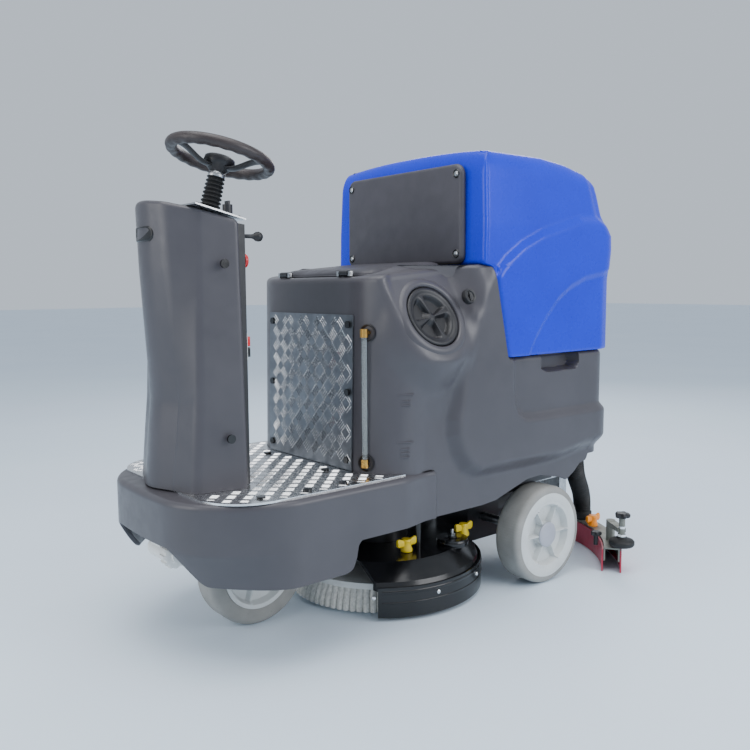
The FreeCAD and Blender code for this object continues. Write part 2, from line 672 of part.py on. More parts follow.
def scrub_deck():
    """The deck cover, its splash skirt, the brush motor, the brush and the two wing knobs."""
    node("brush_deck", brush_deck())
    band = sector("splash_skirt", "brush_x", "skirt_gap", "skirt_radius", "skirt_radius - 5", "70", "130")
    node("splash_skirt", band)
    node("brush_motor", turned("brush_motor", [
        ("0", "brush_deck_z - 12"), ("44", "brush_deck_z - 12"), ("44", "brush_deck_z + 0.5"),
        ("74", "brush_deck_z + 0.5"), ("74", "brush_deck_z + 120"), ("60", "brush_deck_z + 132"),
        ("0", "brush_deck_z + 132")], "brush_x"))
    node("brush_disc", turned("brush_disc", [
        ("0", "58"), ("brush_radius - 14", "58"), ("brush_radius - 14", "72"), ("60", "78"),
        ("40", "brush_deck_z - 14"), ("0", "brush_deck_z - 14")], "brush_x"))
    node("brush_bristles", turned("brush_bristles", [
        ("96", "bristle_gap"), ("brush_radius", "bristle_gap"), ("brush_radius - 16", "57.5"), ("96", "57.5")],
        "brush_x"))
    for name, x in (("front", "axle + 362"), ("rear", "axle + 168")):
        stem = rod(f"wing_stem_{name}", x, "knob_y", "brush_deck_z + 0.5", "12", "34")
        wings = block(f"wings_{name}", f"{x} - 28", "knob_y - 5", "brush_deck_z + 12", "56", "10", "18")
        node(f"wing_knob_{name}", join(f"wing_knob_{name}", stem, wings))


# ---------------------------------------------------------------- squeegee
def on_arc(radius, angle):
    """A place on the squeegee's arc, the angle measured from straight back towards the left."""
    return (f"blade_x - ({radius}) * {math.cos(math.radians(angle))}",
            f"({radius}) * {math.sin(math.radians(angle))}")


def squeegee():
    """The curved channel with its blades, lift arm, end rollers and adjusting knobs."""
    channel = sector("squeegee_channel", "blade_x", "channel_base", "blade_arc - 5", "blade_arc - 46",
                     "channel_depth", "blade_spread")
    under = sector("channel_under", "blade_x", "channel_base - 8", "blade_arc - 9", "blade_arc - 42",
                   "channel_depth + 4", "blade_spread + 3")
    spigot_x, spigot_y = on_arc("blade_arc - 25", 18)
    spigot = rod("squeegee_spigot", spigot_x, spigot_y, "channel_top - 3", "hose_radius - 4", "34")
    spigot_bore = rod("squeegee_spigot_bore", spigot_x, spigot_y, "channel_base - 4", "hose_radius - 8", "120")
    pieces = [cut("channel_shell", channel, under), spigot]
    for name, side in (("left", 1), ("right", -1)):
        pieces += roller_stand(name, side)
    node("squeegee_body", cut("squeegee_body", join("squeegee_solid", *pieces, refine=False), spigot_bore))
    rear = sector("rear_blade", "blade_x", "blade_gap", "blade_arc", "blade_arc - blade_gauge",
                  "channel_top - 6 - blade_gap", "blade_spread")
    lead = sector("front_blade", "blade_x", "blade_gap", "blade_arc - 47", "blade_arc - 47 - blade_gauge",
                  "channel_top - 6 - blade_gap", "blade_spread")
    node("squeegee_blades", group("squeegee_blades", rear, lead))
    squeegee_arm()
    for name, side in (("left", 1), ("right", -1)):
        x, y = roller_place(side)
        node(f"bumper_roller_{name}", turned(f"bumper_roller_{name}", [
            ("8 + running", "channel_top + 5"), ("roller_radius - 6", "channel_top + 5"),
            ("roller_radius", "channel_top + 10"), ("roller_radius", "channel_top + 20"),
            ("roller_radius - 6", "channel_top + 25"), ("16", "channel_top + 29"),
            ("8 + running", "channel_top + 29")], x, y))
        lobes = [rod(f"knob_lobe_{name}_{number}", f"{x} + {15 * math.cos(math.radians(72 * number))}",
                     f"{y} + {15 * math.sin(math.radians(72 * number))}", "channel_top + 84", "6", "12")
                 for number in range(5)]
        head = rod(f"knob_head_{name}", x, y, "channel_top + 82.5", "13", "16")
        node(f"squeegee_knob_{name}", join(f"squeegee_knob_{name}", head, *lobes))


def roller_place(side):
    """Where an end roller's spindle stands, a little outboard of the blades' tips."""
    x, y = on_arc("blade_arc - 25", side * 55)
    return f"{x} - 4", f"{y} + {side * 26}"


def roller_stand(name, side):
    """A post on the channel, an arm out from its top, and the spindle that the roller turns on."""
    x, y = roller_place(side)
    post_x, post_y = on_arc("blade_arc - 25", side * 47)
    post = rod(f"roller_post_{name}", post_x, post_y, "channel_top - 3", "12", "58")
    spindle = rod(f"roller_spindle_{name}", x, y, "channel_top + 2", "8", "80")
    run, rise = size(x) - size(post_x), size(y) - size(post_y)
    turn = Rotation(Vector(0, 0, 1), math.degrees(math.atan2(rise, run)))
    arm = bind(doc.addObject("Part::Box", f"roller_arm_{name}"), Length=math.hypot(run, rise), Width="22",
               Height="12")
    shift = turn.multVec(Vector(0, -11, 0))
    place(arm, f"{post_x} + {shift.x}", f"{post_y} + {shift.y}", "channel_top + 42", turn)
    return [post, arm, spindle]


def squeegee_arm():
    """The lift arm: two cheeks from the pivot back to a cross plate on the channel."""
    cheeks = [block(f"arm_cheek_{number}", "blade_x - blade_arc + 12", y, "arm_z - 12",
                    "arm_x + 12 - blade_x + blade_arc - 12", "8", "24")
              for number, y in enumerate(("-44", "36"))]
    drop = block("arm_drop", "blade_x - blade_arc + 12", "-44", "channel_top + 0.3", "34", "88",
                 "arm_z + 12 - channel_top - 0.3")
    pin = rod("arm_pin", "arm_x", "-60", "arm_z", "8", "120", "Y")
    node("squeegee_arm", join("squeegee_arm", *cheeks, drop, pin))


def suction_hose():
    """The corrugated hose from under the shell's tail down to the squeegee's spigot."""
    end_x, end_y = on_arc("blade_arc - 25", 18)
    start = Vector(size("axle - 212"), size("205"), size("floor + 84"))
    end = Vector(size(end_x), size(end_y), size("channel_top + 4"))
    points = [start, start - Vector(0, 0, 96), end + Vector(0, 0, 110), end]
    hose = doc.addObject("Part::Feature", "suction_hose")
    hose.Shape = pipe(points, size("hose_radius"), size("hose_radius - 3.6"))
    return hose


def pipe(points, outer, inner):
    """A hollow tube along straight runs joined by tangent arcs, as wide as the runs allow."""
    edges, last = [], points[0]
    for before, corner, after in zip(points, points[1:], points[2:]):
        into, out = (corner - before), (after - corner)
        turn = into.getAngle(out)
        reach = 0.45 * min(into.Length, out.Length)
        print("hose arc radius", round(reach / math.tan(turn / 2), 1))
        first = corner - Vector(into).normalize() * reach
        final = corner + Vector(out).normalize() * reach
        bend = (Vector(out).normalize() - Vector(into).normalize()).normalize()
        radius = reach / math.tan(turn / 2)
        middle = corner + bend * (radius / math.cos(turn / 2) - radius)
        edges += [Part.LineSegment(last, first).toShape(), Part.Arc(first, middle, final).toShape()]
        last = final
    edges.append(Part.LineSegment(last, points[-1]).toShape())
    path = Part.Wire(edges)
    start, along = points[0], (points[1] - points[0])
    tubes = []
    for radius in (outer, inner):
        ring = Part.Wire([Part.makeCircle(radius, start, along)])
        tubes.append(path.makePipeShell([ring], True, False))
    solid = tubes[0].cut(tubes[1])
    expected = math.pi * (outer ** 2 - inner ** 2) * path.Length
    if abs(solid.Volume / expected - 1) > 0.02:
        raise RuntimeError("the hose's volume is not its section times its length")
    return solid


# ---------------------------------------------------------------- recovery tank and back rest
def recovery_tank():
    """The upper tank: a hollow shell with a crowned top, an access mouth and two hinge lugs."""
    body = new_body("recovery_tank_shell")
    pad(body, outline(body, "XZ_Plane", [
        ("panel", "rim_back + gap"), ("panel - 4", "tank_top - 30"), ("panel - 60", "tank_top - 6"),
        ("panel - 150", "tank_top"), ("axle - 120", "tank_top - 6"), ("tail + 75", "tank_top - 34"),
        ("tail + 22", "tank_top - 120"), ("tail - 4", "tank_top - 190"), ("tail - 2", "joint + gap"),
        ("panel - 76 - slack", "joint + gap"), ("panel - 29 - slack", "rim_back - 6 + gap")]),
        "body_width", midplane=True)
    soften(body, "42", lambda edge: runs(edge, "z", 120) and abs(edge.CenterOfMass.y) > size("half - 3"))
    pocket(body, outline(body, "XZ_Plane", [
        ("panel - 30", "joint + 215"), ("panel - 34", "tank_top - 60"), ("axle - 110", "tank_top - 40"),
        ("tail + 60", "tank_top - 150"), ("tail + 30", "joint + 30"), ("panel - 110", "joint + 30")]),
        "body_width - 56", midplane=True)
    mouth = rod("tank_mouth", "axle", "0", "tank_top - 90", "112", "120")
    seat = rod("lid_seat", "axle", "0", "tank_top - 11", "137", "40")
    lug = [tube(f"tank_lug_{number}", x, "-half - 9", "joint + 2", "8", "3 + running", "30", "X")
           for number, x in enumerate(("tail + 90", "axle + 60"))]
    ties = [cut(f"lug_web_{number}", block(f"lug_web_{number}_plate", x, "-half - 9", "joint + 2", "30", "12", "8"),
                rod(f"lug_web_{number}_bore", f"({x}) - 5", "-half - 9", "joint + 2", "3 + running", "40", "X"))
            for number, x in enumerate(("tail + 90", "axle + 60"))]
    return join("recovery_tank", cut("tank_open", body, mouth, seat), *lug, *ties)


def upper_tank():
    """The recovery tank with its lid and gasket, and the back rest screwed to its front."""
    node("recovery_tank", recovery_tank())
    node("lid_gasket", tube("lid_gasket", "axle", "0", "tank_top - 10.7", "128", "116", "3.4"))
    node("recovery_lid", join(
        "recovery_lid", rod("lid_disc", "axle", "0", "tank_top - 7", "134", "10"),
        block("lid_tab", "axle + 120", "-22", "tank_top + 0.5", "26", "44", "2.5")))
    body = new_body("backrest_panel")
    pad(body, outline(body, "XZ_Plane", [
        ("panel + 0.4", "rim_back + 2"), ("panel + 10", "rim_back + 2"), ("panel + 6", "tank_top - 40"),
        ("panel - 3.6", "tank_top - 40")]), "2 * half - 136", midplane=True)
    soften(body, "26", lambda edge: runs(edge, "x", 8))
    node("backrest_panel", body)
    lower = []
    for number, x in enumerate(("tail + 60", "tail + 122", "axle + 30", "axle + 92")):
        lower.append(tube(f"hinge_knuckle_{number}", x, "-half - 9", "joint + 2", "7", "2.9", "28", "X"))
        lower.append(block(f"hinge_leaf_{number}", x, "-half - 6", "joint - 50", "28", "5.5", "45"))
    pins = [rod(f"hinge_pin_{number}", x, "-half - 9", "joint + 2", "3", "90", "X")
            for number, x in enumerate(("tail + 60", "axle + 30"))]
    node("tank_hinges", join("tank_hinges", *lower, *pins))


def seat():
    """The seat: a steel pan with a foam pad, hinged along its front edge."""
    pan = new_body("seat_pan_plate")
    pad(pan, outline(pan, "XZ_Plane", seat_layer("-24", "-20")), "2 * seat_half - 4", midplane=True)
    knuckles = [tube(f"seat_knuckle_{side + 1}", "front_top - 10", f"{side} * 120 - 15", "rim + 8", "6",
                     "3 + running", "30", "Y") for side in (1, -1)]
    straps = [cut(f"seat_strap_{side + 1}", block(f"seat_strap_{side + 1}_plate", "front_top - 22.5",
                                                  f"{side} * 120 - 15", "rim - 23", "4", "30", "36"),
                  rod(f"seat_strap_{side + 1}_bore", "front_top - 10", f"{side} * 120 - 20", "rim + 8",
                      "3 + running", "40", "Y")) for side in (1, -1)]
    lugs = [block(f"seat_lug_{side + 1}", "front_top - 22.5", f"{side} * 120 - 15", "rim + 9", "14", "30", "4")
            for side in (1, -1)]
    trims = [rod(f"seat_lug_{side + 1}_bore", "front_top - 10", f"{side} * 120 - 20", "rim + 8", "3 + running",
                 "40", "Y") for side in (1, -1)]
    node("seat_pan", cut("seat_pan", join("seat_pan_solid", pan, *knuckles, *straps, *lugs), *trims))
    pad_body = new_body("seat_cushion")
    pad(pad_body, outline(pad_body, "XZ_Plane", seat_layer("-19.6", "14")), "2 * seat_half - 8", midplane=True)
    soften(pad_body, "9", lambda edge: edge.CenterOfMass.z > size("rim + 8") and runs(edge, "x", 100))
    notches = [block(f"cushion_notch_{side + 1}", "front_top - 26", f"{side} * 120 - 17", "rim - 40", "40", "34", "80")
               for side in (1, -1)]
    node("seat_cushion", cut("seat_cushion_cut", pad_body, *notches))
    pins = []
    for side in (1, -1):
        pins.append(rod(f"seat_pin_{side + 1}", "front_top - 10", f"{side} * 120 - 26", "rim + 8", "3", "52", "Y"))
        for end in (-24, 17):
            pins.append(block(f"seat_ear_{side + 1}_{end + 24}", "front_top - 14", f"{side} * 120 + {end}",
                              "rim + 1.6", "8", "7", "11"))
    node("seat_hinge_pins", join("seat_hinge_pins", *pins))


def seat_layer(low, high):
    """The side view of a layer of the seat, sloping with the shell's rim."""
    slope = "seat_rise / (seat_length - wall_lean)"
    return [("panel + 20", f"rim_back - 20 * {slope} + {low}"), ("front_top - 22", f"rim + 22 * {slope} + {low}"),
            ("front_top - 22", f"rim + 22 * {slope} + {high}"), ("panel + 20", f"rim_back - 20 * {slope} + {high}")]


# ---------------------------------------------------------------- controls and fittings
def controls():
    """The direction lever, the stop button, the key switch, the pedal and the charging socket."""
    node("direction_lever", turned("direction_lever", [
        ("0", "0"), ("6", "1.5"), ("10", "7"), ("10", "15"), ("6", "19.5"), ("4", "20.5"), ("4", "43"),
        ("6", "45.5"), ("7", "49.6"), ("6", "53.5"), ("0", "56.6")], "cowl_x - 74", "button_y", "lever_z", "X"))
    node("emergency_button", join(
        "emergency_button", rod("button_head", "cowl_x - 35", "button_y", "button_z", "15", "12", "X"),
        rod("button_stem", "cowl_x - 24", "button_y", "button_z", "7", "18", "X")))
    rise = "(cowl_fall + 5) / (cowl_depth + 40)"
    node("key_switch", join("key_switch", rod(
        "key_barrel", "cowl_x + 10", "cowl_head - 30", f"deck + cowl_rise - cowl_fall + 40 * {rise} + 3.8", "10", "18"),
        block("key_bow", "cowl_x + 8", "cowl_head - 38", f"deck + cowl_rise - cowl_fall + 40 * {rise} + 21", "4",
              "16", "8")))
    node("charging_connector", block("charging_connector", "cowl_x - 26", "cowl_head - 34", "deck + 262", "9.8",
                                     "20", "46"))
    pedal = new_body("pedal_plate")
    pad(pedal, outline(pedal, "XZ_Plane", [
        ("pedal_x - 2", "deck + 6"), ("pedal_x + 110", "deck + 40"), ("pedal_x + 108", "deck + 47"),
        ("pedal_x - 4", "deck + 13")], "-pedal_y"), "70", midplane=True)
    hub = rod("pedal_hub", "pedal_x", "pedal_y - 35", "deck + 9", "6.5", "70", "Y")
    bore = rod("pedal_bore", "pedal_x", "pedal_y - 60", "deck + 9", "3 + running", "120", "Y")
    node("accelerator_pedal", cut("accelerator_pedal", join("pedal_solid", pedal, hub), bore))


def fittings():
    """The lamp, the level tube, the filler cap, the vent, and the filter under the nose."""
    lamp_x, lamp_z = "cowl_x + cowl_depth + 0.3", "deck + 512"
    node("cowl_lamp", join(
        "cowl_lamp", block("lamp_middle", lamp_x, "-20", f"{lamp_z} - 15", "4", "40", "30"),
        rod("lamp_left", lamp_x, "20", lamp_z, "15", "4", "X"), rod("lamp_right", lamp_x, "-20", lamp_z, "15", "4", "X")))
    node("sight_tube", rod("sight_tube", "sight_x", "sight_y", "deck + 32.3", "5.5", "rim_rise - 162.6"))
    elbows = []
    for name, z in ELBOWS:
        elbows.append(join(f"elbow_{name}", rod(f"elbow_socket_{name}", "sight_x", "sight_y", z, "9", "18"),
                           rod(f"elbow_tail_{name}", "front - 42", "sight_y", f"{z} + 9", "5", "35", "X")))
    node("sight_tube_elbows", group("sight_tube_elbows", *elbows))
    turn = Rotation(Vector(1, 0, 0), -90 + size("filler_tilt"))
    node("filler_cap", turned("filler_cap", [
        ("0", "-14.5"), ("filler_radius - 6", "-14.5"), ("filler_radius", "-8"), ("filler_radius", "0"),
        ("filler_radius - 5", "4"), ("filler_radius - 16", "4"), ("filler_radius - 22", "-7"), ("0", "-7")],
        "front - 154", "filler_y", "filler_z", turn=turn))
    node("vent_plug", join("vent_plug", rod("vent_flange", "panel + 54", "half + 0.2", "rim - 47", "9", "3", "Y"),
                           rod("vent_head", "panel + 54", "half + 3", "rim - 47", "6", "4", "Y")))
    node("filter_housing", join("filter_housing", rod("filter_bowl", "nose - 62", "-52", "floor - 31", "23", "66", "Y"),
                                block("filter_mount", "nose - 82", "-40", "floor - 31", "40", "44", "30.6")))
    node("filter_cap", turned("filter_cap", [
        ("0", "0.3"), ("29", "0.3"), ("29", "24"), ("25", "29"), ("14", "30"), ("14", "36"), ("0", "36")],
        "nose - 62", "14", "floor - 31", "Y"))


def inner_works():
    """The batteries, the motor controller and the vacuum motor inside the shell."""
    cells = [block(f"battery_{number}", "axle - 30", y, "deck - 9.7", "330", "battery_side - 3", "215")
             for number, y in enumerate(("-battery_side", "3"))]
    node("batteries", group("batteries", *cells))
    node("motor_controller", block("motor_controller", "axle + 330", "-80", "deck - 9.7", "130", "160", "70"))
    node("vacuum_motor", turned("vacuum_motor", [
        ("0", "0.3"), ("72", "0.3"), ("72", "70"), ("58", "80"), ("58", "150"), ("30", "166"), ("0", "166")],
        "tail + 150", "-80", "joint - 170"))


# ---------------------------------------------------------------- build, test and write
def squeegee_lugs():
    """Two moulded lugs under the shell's tail that carry the squeegee arm's pin."""
    lugs = [block(f"squeegee_lug_{number}", "arm_x - 14", y, "arm_z - 14", "28", "10", "floor + 70 - arm_z")
            for number, y in enumerate(("-62", "52"))]
    return lugs, rod("squeegee_lug_bore", "arm_x", "-80", "arm_z", "8 + running", "160", "Y")


def elbow_holes():
    """A round recess and a bore for each elbow of the level tube."""
    holes = []
    for name, z in ELBOWS:
        holes.append(rod(f"elbow_recess_{name}", "front - 30", "sight_y", f"{z} + 9", "17", "60", "X"))
        holes.append(rod(f"elbow_bore_{name}", "front - 43", "sight_y", f"{z} + 9", "5 + running", "20", "X"))
    return holes


def build():
    """Make every sub-part in turn."""
    lugs, bore = squeegee_lugs()
    moulding = join("solution_tank_whole", filler_mouth(solution_tank()), *lugs, refine=False)
    node("solution_tank", cut("solution_tank_bored", moulding, bore, *elbow_holes()))
    node("foot_plate", foot_plate())
    node("access_plate", access_plate())
    node("front_cowl", front_cowl())
    node("dash_panel", dash_panel())
    node("console_plate", console_plate())
    node("cup_screws", cup_screws())
    steering()
    node("fork", fork())
    wheels()
    node("transaxle", transaxle())
    scrub_deck()
    squeegee()
    node("suction_hose", suction_hose())
    upper_tank()
    seat()
    controls()
    fittings()
    inner_works()
    doc.recompute()


def write():
    """Test every object and sub-part, then write one file for each sub-part."""
    for thing in doc.Objects:
        if "Invalid" in thing.State or "Error" in thing.State:
            raise RuntimeError(f"{thing.Label} did not build: {thing.State}")
    os.makedirs("parts", exist_ok=True)
    for name, thing in nodes.items():
        shape = thing.Shape
        if shape.isNull() or not shape.isValid() or not shape.Solids:
            raise RuntimeError(f"{name} is not a valid solid")
        shape.exportStep(f"parts/{name}.step")
        print(f"{name}: {len(shape.Solids)} solid(s), {shape.Volume / 1000:.1f} cm3")
    print(len(nodes), "sub-parts")


build()
write()
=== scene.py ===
# %% [markdown]
# # A ride-on floor scrubber
# The machine washes floors with a disc brush under its deck and dries them with a curved
# squeegee at the back. Its CAD model gives every hinge, wheel and bracket its place. This script
# gives each of them its looks: moulded skins, ribbed rubber, chequer plate and bristles.
# Lengths are in millimetres until a mesh is made, because a maker measures them that way.

# %% Load the frame
import json
import math

import bmesh
import bpy
import numpy as np
from mathutils import Matrix, Vector


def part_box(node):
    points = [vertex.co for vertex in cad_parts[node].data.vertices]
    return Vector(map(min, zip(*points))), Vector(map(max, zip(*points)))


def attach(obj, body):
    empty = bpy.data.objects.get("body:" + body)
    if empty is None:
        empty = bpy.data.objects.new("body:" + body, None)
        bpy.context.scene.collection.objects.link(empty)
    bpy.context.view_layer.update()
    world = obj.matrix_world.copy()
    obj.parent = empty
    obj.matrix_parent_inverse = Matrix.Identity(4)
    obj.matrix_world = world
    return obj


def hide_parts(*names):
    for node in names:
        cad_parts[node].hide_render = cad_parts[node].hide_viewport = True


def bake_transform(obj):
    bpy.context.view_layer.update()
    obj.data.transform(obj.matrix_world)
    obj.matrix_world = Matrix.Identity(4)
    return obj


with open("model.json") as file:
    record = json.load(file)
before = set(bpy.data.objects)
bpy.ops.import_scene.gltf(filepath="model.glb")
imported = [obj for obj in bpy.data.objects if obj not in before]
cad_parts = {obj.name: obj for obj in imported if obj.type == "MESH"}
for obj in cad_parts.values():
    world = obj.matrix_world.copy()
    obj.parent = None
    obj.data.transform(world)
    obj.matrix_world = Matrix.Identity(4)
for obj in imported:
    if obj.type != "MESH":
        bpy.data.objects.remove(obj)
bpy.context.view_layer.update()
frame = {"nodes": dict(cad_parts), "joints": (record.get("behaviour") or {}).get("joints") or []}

# %% [markdown]
# Every place below starts from the box of a CAD node, so a piece lands where the frame says.
# X points forwards, Y to the driver's left and Z up, and the origin is on the ground.

# %% Places read from the frame
MM = 0.001


def box(node):
    """The lowest and highest corner of a CAD node in millimetres."""
    low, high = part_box(node)
    return np.array(low) / MM, np.array(high) / MM


shell_low, shell_high = box("solution_tank")
TAIL, NOSE, HALF = shell_low[0], shell_high[0], shell_high[1]
RIM_BACK = shell_high[2]
plate_low, plate_high = box("access_plate")
DECK = plate_low[2] - 1
FRONT = plate_high[0] - 3.2
wheel_low, wheel_high = box("rear_tyre_left")
AXLE = (wheel_low[0] + wheel_high[0]) / 2
tank_low, tank_high = box("recovery_tank")
JOINT = tank_low[2] - 8
PANEL = tank_high[0]
TANK_TOP = tank_high[2]
RIM = DECK + 428
print("nose", NOSE, "tail", TAIL, "deck", DECK, "axle", AXLE, "joint", JOINT, "panel", PANEL)

# %% [markdown]
# ## Working with whole surfaces
# A moulded skin is a sheet bent in two directions, so each one is a grid of points found by a
# formula. One call lays the quads, another merges the ends and turns every face outwards.

# %% Grids, turned pieces and finished objects
def quads(across, along, wrap_across=True, wrap_along=False):
    """The four corners of every cell of a grid stored row by row, as numbers of points."""
    i = np.arange(across if wrap_across else across - 1)[:, None]
    j = np.arange(along if wrap_along else along - 1)[None, :]
    i_next, j_next = (i + 1) % across, (j + 1) % along
    cells = [i * along + j, i_next * along + j, i_next * along + j_next, i * along + j_next]
    return np.stack([c + 0 * i + 0 * j for c in cells], -1).reshape(-1, 4)


def skin(grid, wrap=True, caps=True):
    """A closed skin from a grid: its first direction goes round, its second from end to end."""
    across, along = grid.shape[:2]
    faces = [quads(across, along, wrap)]
    if caps:
        ring = np.arange(across) * along
        faces += [ring[None, ::-1], ring[None, :] + along - 1]
    return grid.reshape(-1, 3), faces


def make(name, parts, material, body, replaces=(), sharp=38):
    """One finished object from several skins, merged, turned outwards and set on its body."""
    points = np.concatenate([part[0].reshape(-1, 3) for part in parts]) * MM
    faces, start = [], 0
    for part_points, part_faces in parts:
        for block in part_faces:
            faces += (np.asarray(block) + start).tolist()
        start += len(part_points.reshape(-1, 3))
    mesh = bpy.data.meshes.new(name)
    mesh.from_pydata(points.tolist(), [], faces)
    work = bmesh.new()
    work.from_mesh(mesh)
    bmesh.ops.remove_doubles(work, verts=work.verts, dist=2e-6)
    bmesh.ops.dissolve_degenerate(work, edges=work.edges, dist=1e-6)
    bmesh.ops.recalc_face_normals(work, faces=work.faces)
    work.to_mesh(mesh)
    work.free()
    mesh.shade_smooth()
    mesh.set_sharp_from_angle(angle=math.radians(sharp))
    piece = bpy.data.objects.new(name, mesh)
    bpy.context.scene.collection.objects.link(piece)
    piece.data.materials.append(material)
    if body:
        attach(piece, body)
    if replaces:
        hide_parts(*replaces)
    print(f"{name}: {len(mesh.polygons)} faces")
    return piece


def axes(direction):
    """Two directions square to a given one and to each other."""
    along = np.array(direction, float) / np.linalg.norm(direction)
    helper = np.array([0, 0, 1.0]) if abs(along[2]) < 0.9 else np.array([1.0, 0, 0])
    first = np.cross(helper, along)
    first /= np.linalg.norm(first)
    return first, np.cross(along, first), along


def spun(profile, centre, direction=(0, 0, 1), count=48, ripple=None):
    """A turned piece. profile is (radius, height) corners, and ripple adds to the radius."""
    radius, height = np.array(profile, float).T
    angle = np.linspace(0, 2 * np.pi, count, endpoint=False)[:, None]
    first, second, along = axes(direction)
    if ripple:
        radius = radius + ripple(angle, radius, height)
    radius = radius + 0 * angle
    round_way = np.cos(angle)[..., None] * first + np.sin(angle)[..., None] * second
    grid = np.array(centre, float) + radius[..., None] * round_way + (height + 0 * angle)[..., None] * along
    return skin(grid)


def hoop(profile, centre, direction=(0, 0, 1), count=48, ripple=None):
    """A turned ring with a hole: a closed profile of (radius, height) carried round an axis."""
    points, _ = spun(profile, centre, direction, count, ripple)
    return points, [quads(len(points) // len(profile), len(profile), True, True)]


def step(low, high, value):
    """0 below low, 1 above high, and a smooth S between them."""
    part = np.clip((value - low) / (high - low), 0, 1)
    return part * part * (3 - 2 * part)


def along_line(points, value):
    """The height of a line through (place, height) corners at some places."""
    place, height = np.array(points, float).T
    order = np.argsort(place)
    return np.interp(value, place[order], height[order])


def loop(corners, radii, counts):
    """A closed plan: straight runs and round corners, with a set number of points on each.
    Its corners go anticlockwise seen from above. Also gives the outward direction of each point."""
    corners = np.array(corners, float)
    points, normals, total = [], [], len(corners)
    before = np.roll(corners, 1, axis=0)
    after = np.roll(corners, -1, axis=0)
    into = corners - before
    out = after - corners
    into /= np.linalg.norm(into, axis=1)[:, None]
    out /= np.linalg.norm(out, axis=1)[:, None]
    turn = np.arccos(np.clip((into * out).sum(1), -1, 1))
    reach = np.array(radii, float) * np.tan(turn / 2)
    start, end = corners - into * reach[:, None], corners + out * reach[:, None]
    for number in range(total):
        run_count, arc_count = counts[number]
        share = np.linspace(0, 1, run_count, endpoint=False)[:, None]
        points.append(end[number - 1] + share * (start[number] - end[number - 1]))
        flat = np.array([into[number][1], -into[number][0]])
        normals.append(np.repeat(flat[None], run_count, 0))
        angle = np.linspace(0, turn[number], arc_count, endpoint=False)[:, None]
        centre = start[number] - flat * radii[number]
        bend = np.cos(angle) * flat + np.sin(angle) * into[number]
        points.append(centre + bend * radii[number])
        normals.append(bend)
    return np.concatenate(points), np.concatenate(normals)


def slab(corners, radii, counts, direction, base, thickness, edge):
    """A plate with a rounded edge: a plan stood on a base point, facing a direction."""
    plan, normal = loop(corners, radii, counts)
    quarter = np.linspace(0, np.pi / 2, 5)
    inward = np.concatenate([[edge], edge * (1 - np.sin(quarter)), edge * (1 - np.cos(quarter))])
    height = np.concatenate([[0], edge * (1 - np.cos(quarter)), thickness - edge * (1 - np.sin(quarter))])
    inward[0], height[0] = edge + 0.5, 0
    first, second, along = axes(direction) if len(np.shape(direction)) == 1 else direction
    flat = plan[:, None] - normal[:, None] * inward[:, None]
    grid = np.array(base, float) + flat[..., :1] * first + flat[..., 1:] * second + height[:, None] * along
    return skin(grid)


print("tools ready")

# %% [markdown]
# ## Finishes
# Each finish is named for the real material and how it was made. Two tones mixed by a slow noise
# give the uneven colour of a moulding, a fine noise gives its grain, and both are sized in
# millimetres on the object's own coordinates. Grain finer than the picture shows is drawn coarser.

# %% The node helper and a general finish
def linear(code):
    """An sRGB hex colour as linear red, green, blue and alpha."""
    parts = [int(code[i:i + 2], 16) / 255 for i in (1, 3, 5)]
    return tuple(p / 12.92 if p <= 0.04045 else ((p + 0.055) / 1.055) ** 2.4 for p in parts) + (1,)


def add(tree, kind, settings=None, links=None):
    """One node with its settings, and its inputs as values or as other nodes' outputs."""
    made = tree.nodes.new(f"ShaderNode{kind}")
    for key, value in (settings or {}).items():
        setattr(made, key, value)
    for key, value in (links or {}).items():
        if isinstance(value, bpy.types.NodeSocket):
            tree.links.new(value, made.inputs[key])
        else:
            made.inputs[key].default_value = value
    return made


def finish(name, tones, rough, grain_mm, grain_depth, mottle_mm=60, metallic=0.0, wear=None, extra=None,
           rough_mm=25):
    """A finish from two tones, a range of roughness and a grain of a real size.
    wear is a third tone that shows where a broad noise peaks, as handling leaves it."""
    material = bpy.data.materials.new(name)
    material.use_nodes = True
    tree = material.node_tree
    tree.nodes.clear()
    place = add(tree, "TexCoord").outputs["Object"]
    mottle = add(tree, "TexNoise", links={"Vector": place, "Scale": 1 / (mottle_mm * MM), "Detail": 4.0})
    share = add(tree, "MapRange", links={"Value": mottle.outputs[0], "From Min": 0.35, "From Max": 0.65})
    tone = add(tree, "Mix", {"data_type": "RGBA"}, {
        0: share.outputs[0], 6: linear(tones[0]), 7: linear(tones[1])})
    colour = tone.outputs[2]
    if wear:
        scuff = add(tree, "TexNoise", links={"Vector": place, "Scale": 1 / (9 * MM), "Detail": 7.0})
        colour = add(tree, "Mix", {"data_type": "RGBA"}, {
            0: add(tree, "MapRange", links={"Value": scuff.outputs[0], "From Min": 0.62, "From Max": 0.8,
                                            "To Max": 0.55}).outputs[0],
            6: colour, 7: linear(wear)}).outputs[2]
    sweep = add(tree, "TexNoise", links={"Vector": place, "Scale": 1 / (rough_mm * MM), "Detail": 5.0})
    gloss = add(tree, "MapRange", links={"Value": sweep.outputs[0], "From Min": 0.3, "From Max": 0.7,
                                         "To Min": rough[0], "To Max": rough[1]})
    grain = add(tree, "TexNoise", links={"Vector": place, "Scale": 1 / (grain_mm * MM), "Detail": 2.0})
    bump = add(tree, "Bump", links={"Height": grain.outputs[0], "Distance": grain_depth * MM,
                                    "Strength": 1.0})
    shader = add(tree, "BsdfPrincipled", links={"Base Color": colour, "Roughness": gloss.outputs[0],
                                                "Normal": bump.outputs[0], "Metallic": metallic,
                                                **(extra or {})})
    add(tree, "OutputMaterial", links={"Surface": shader.outputs[0]})
    return material


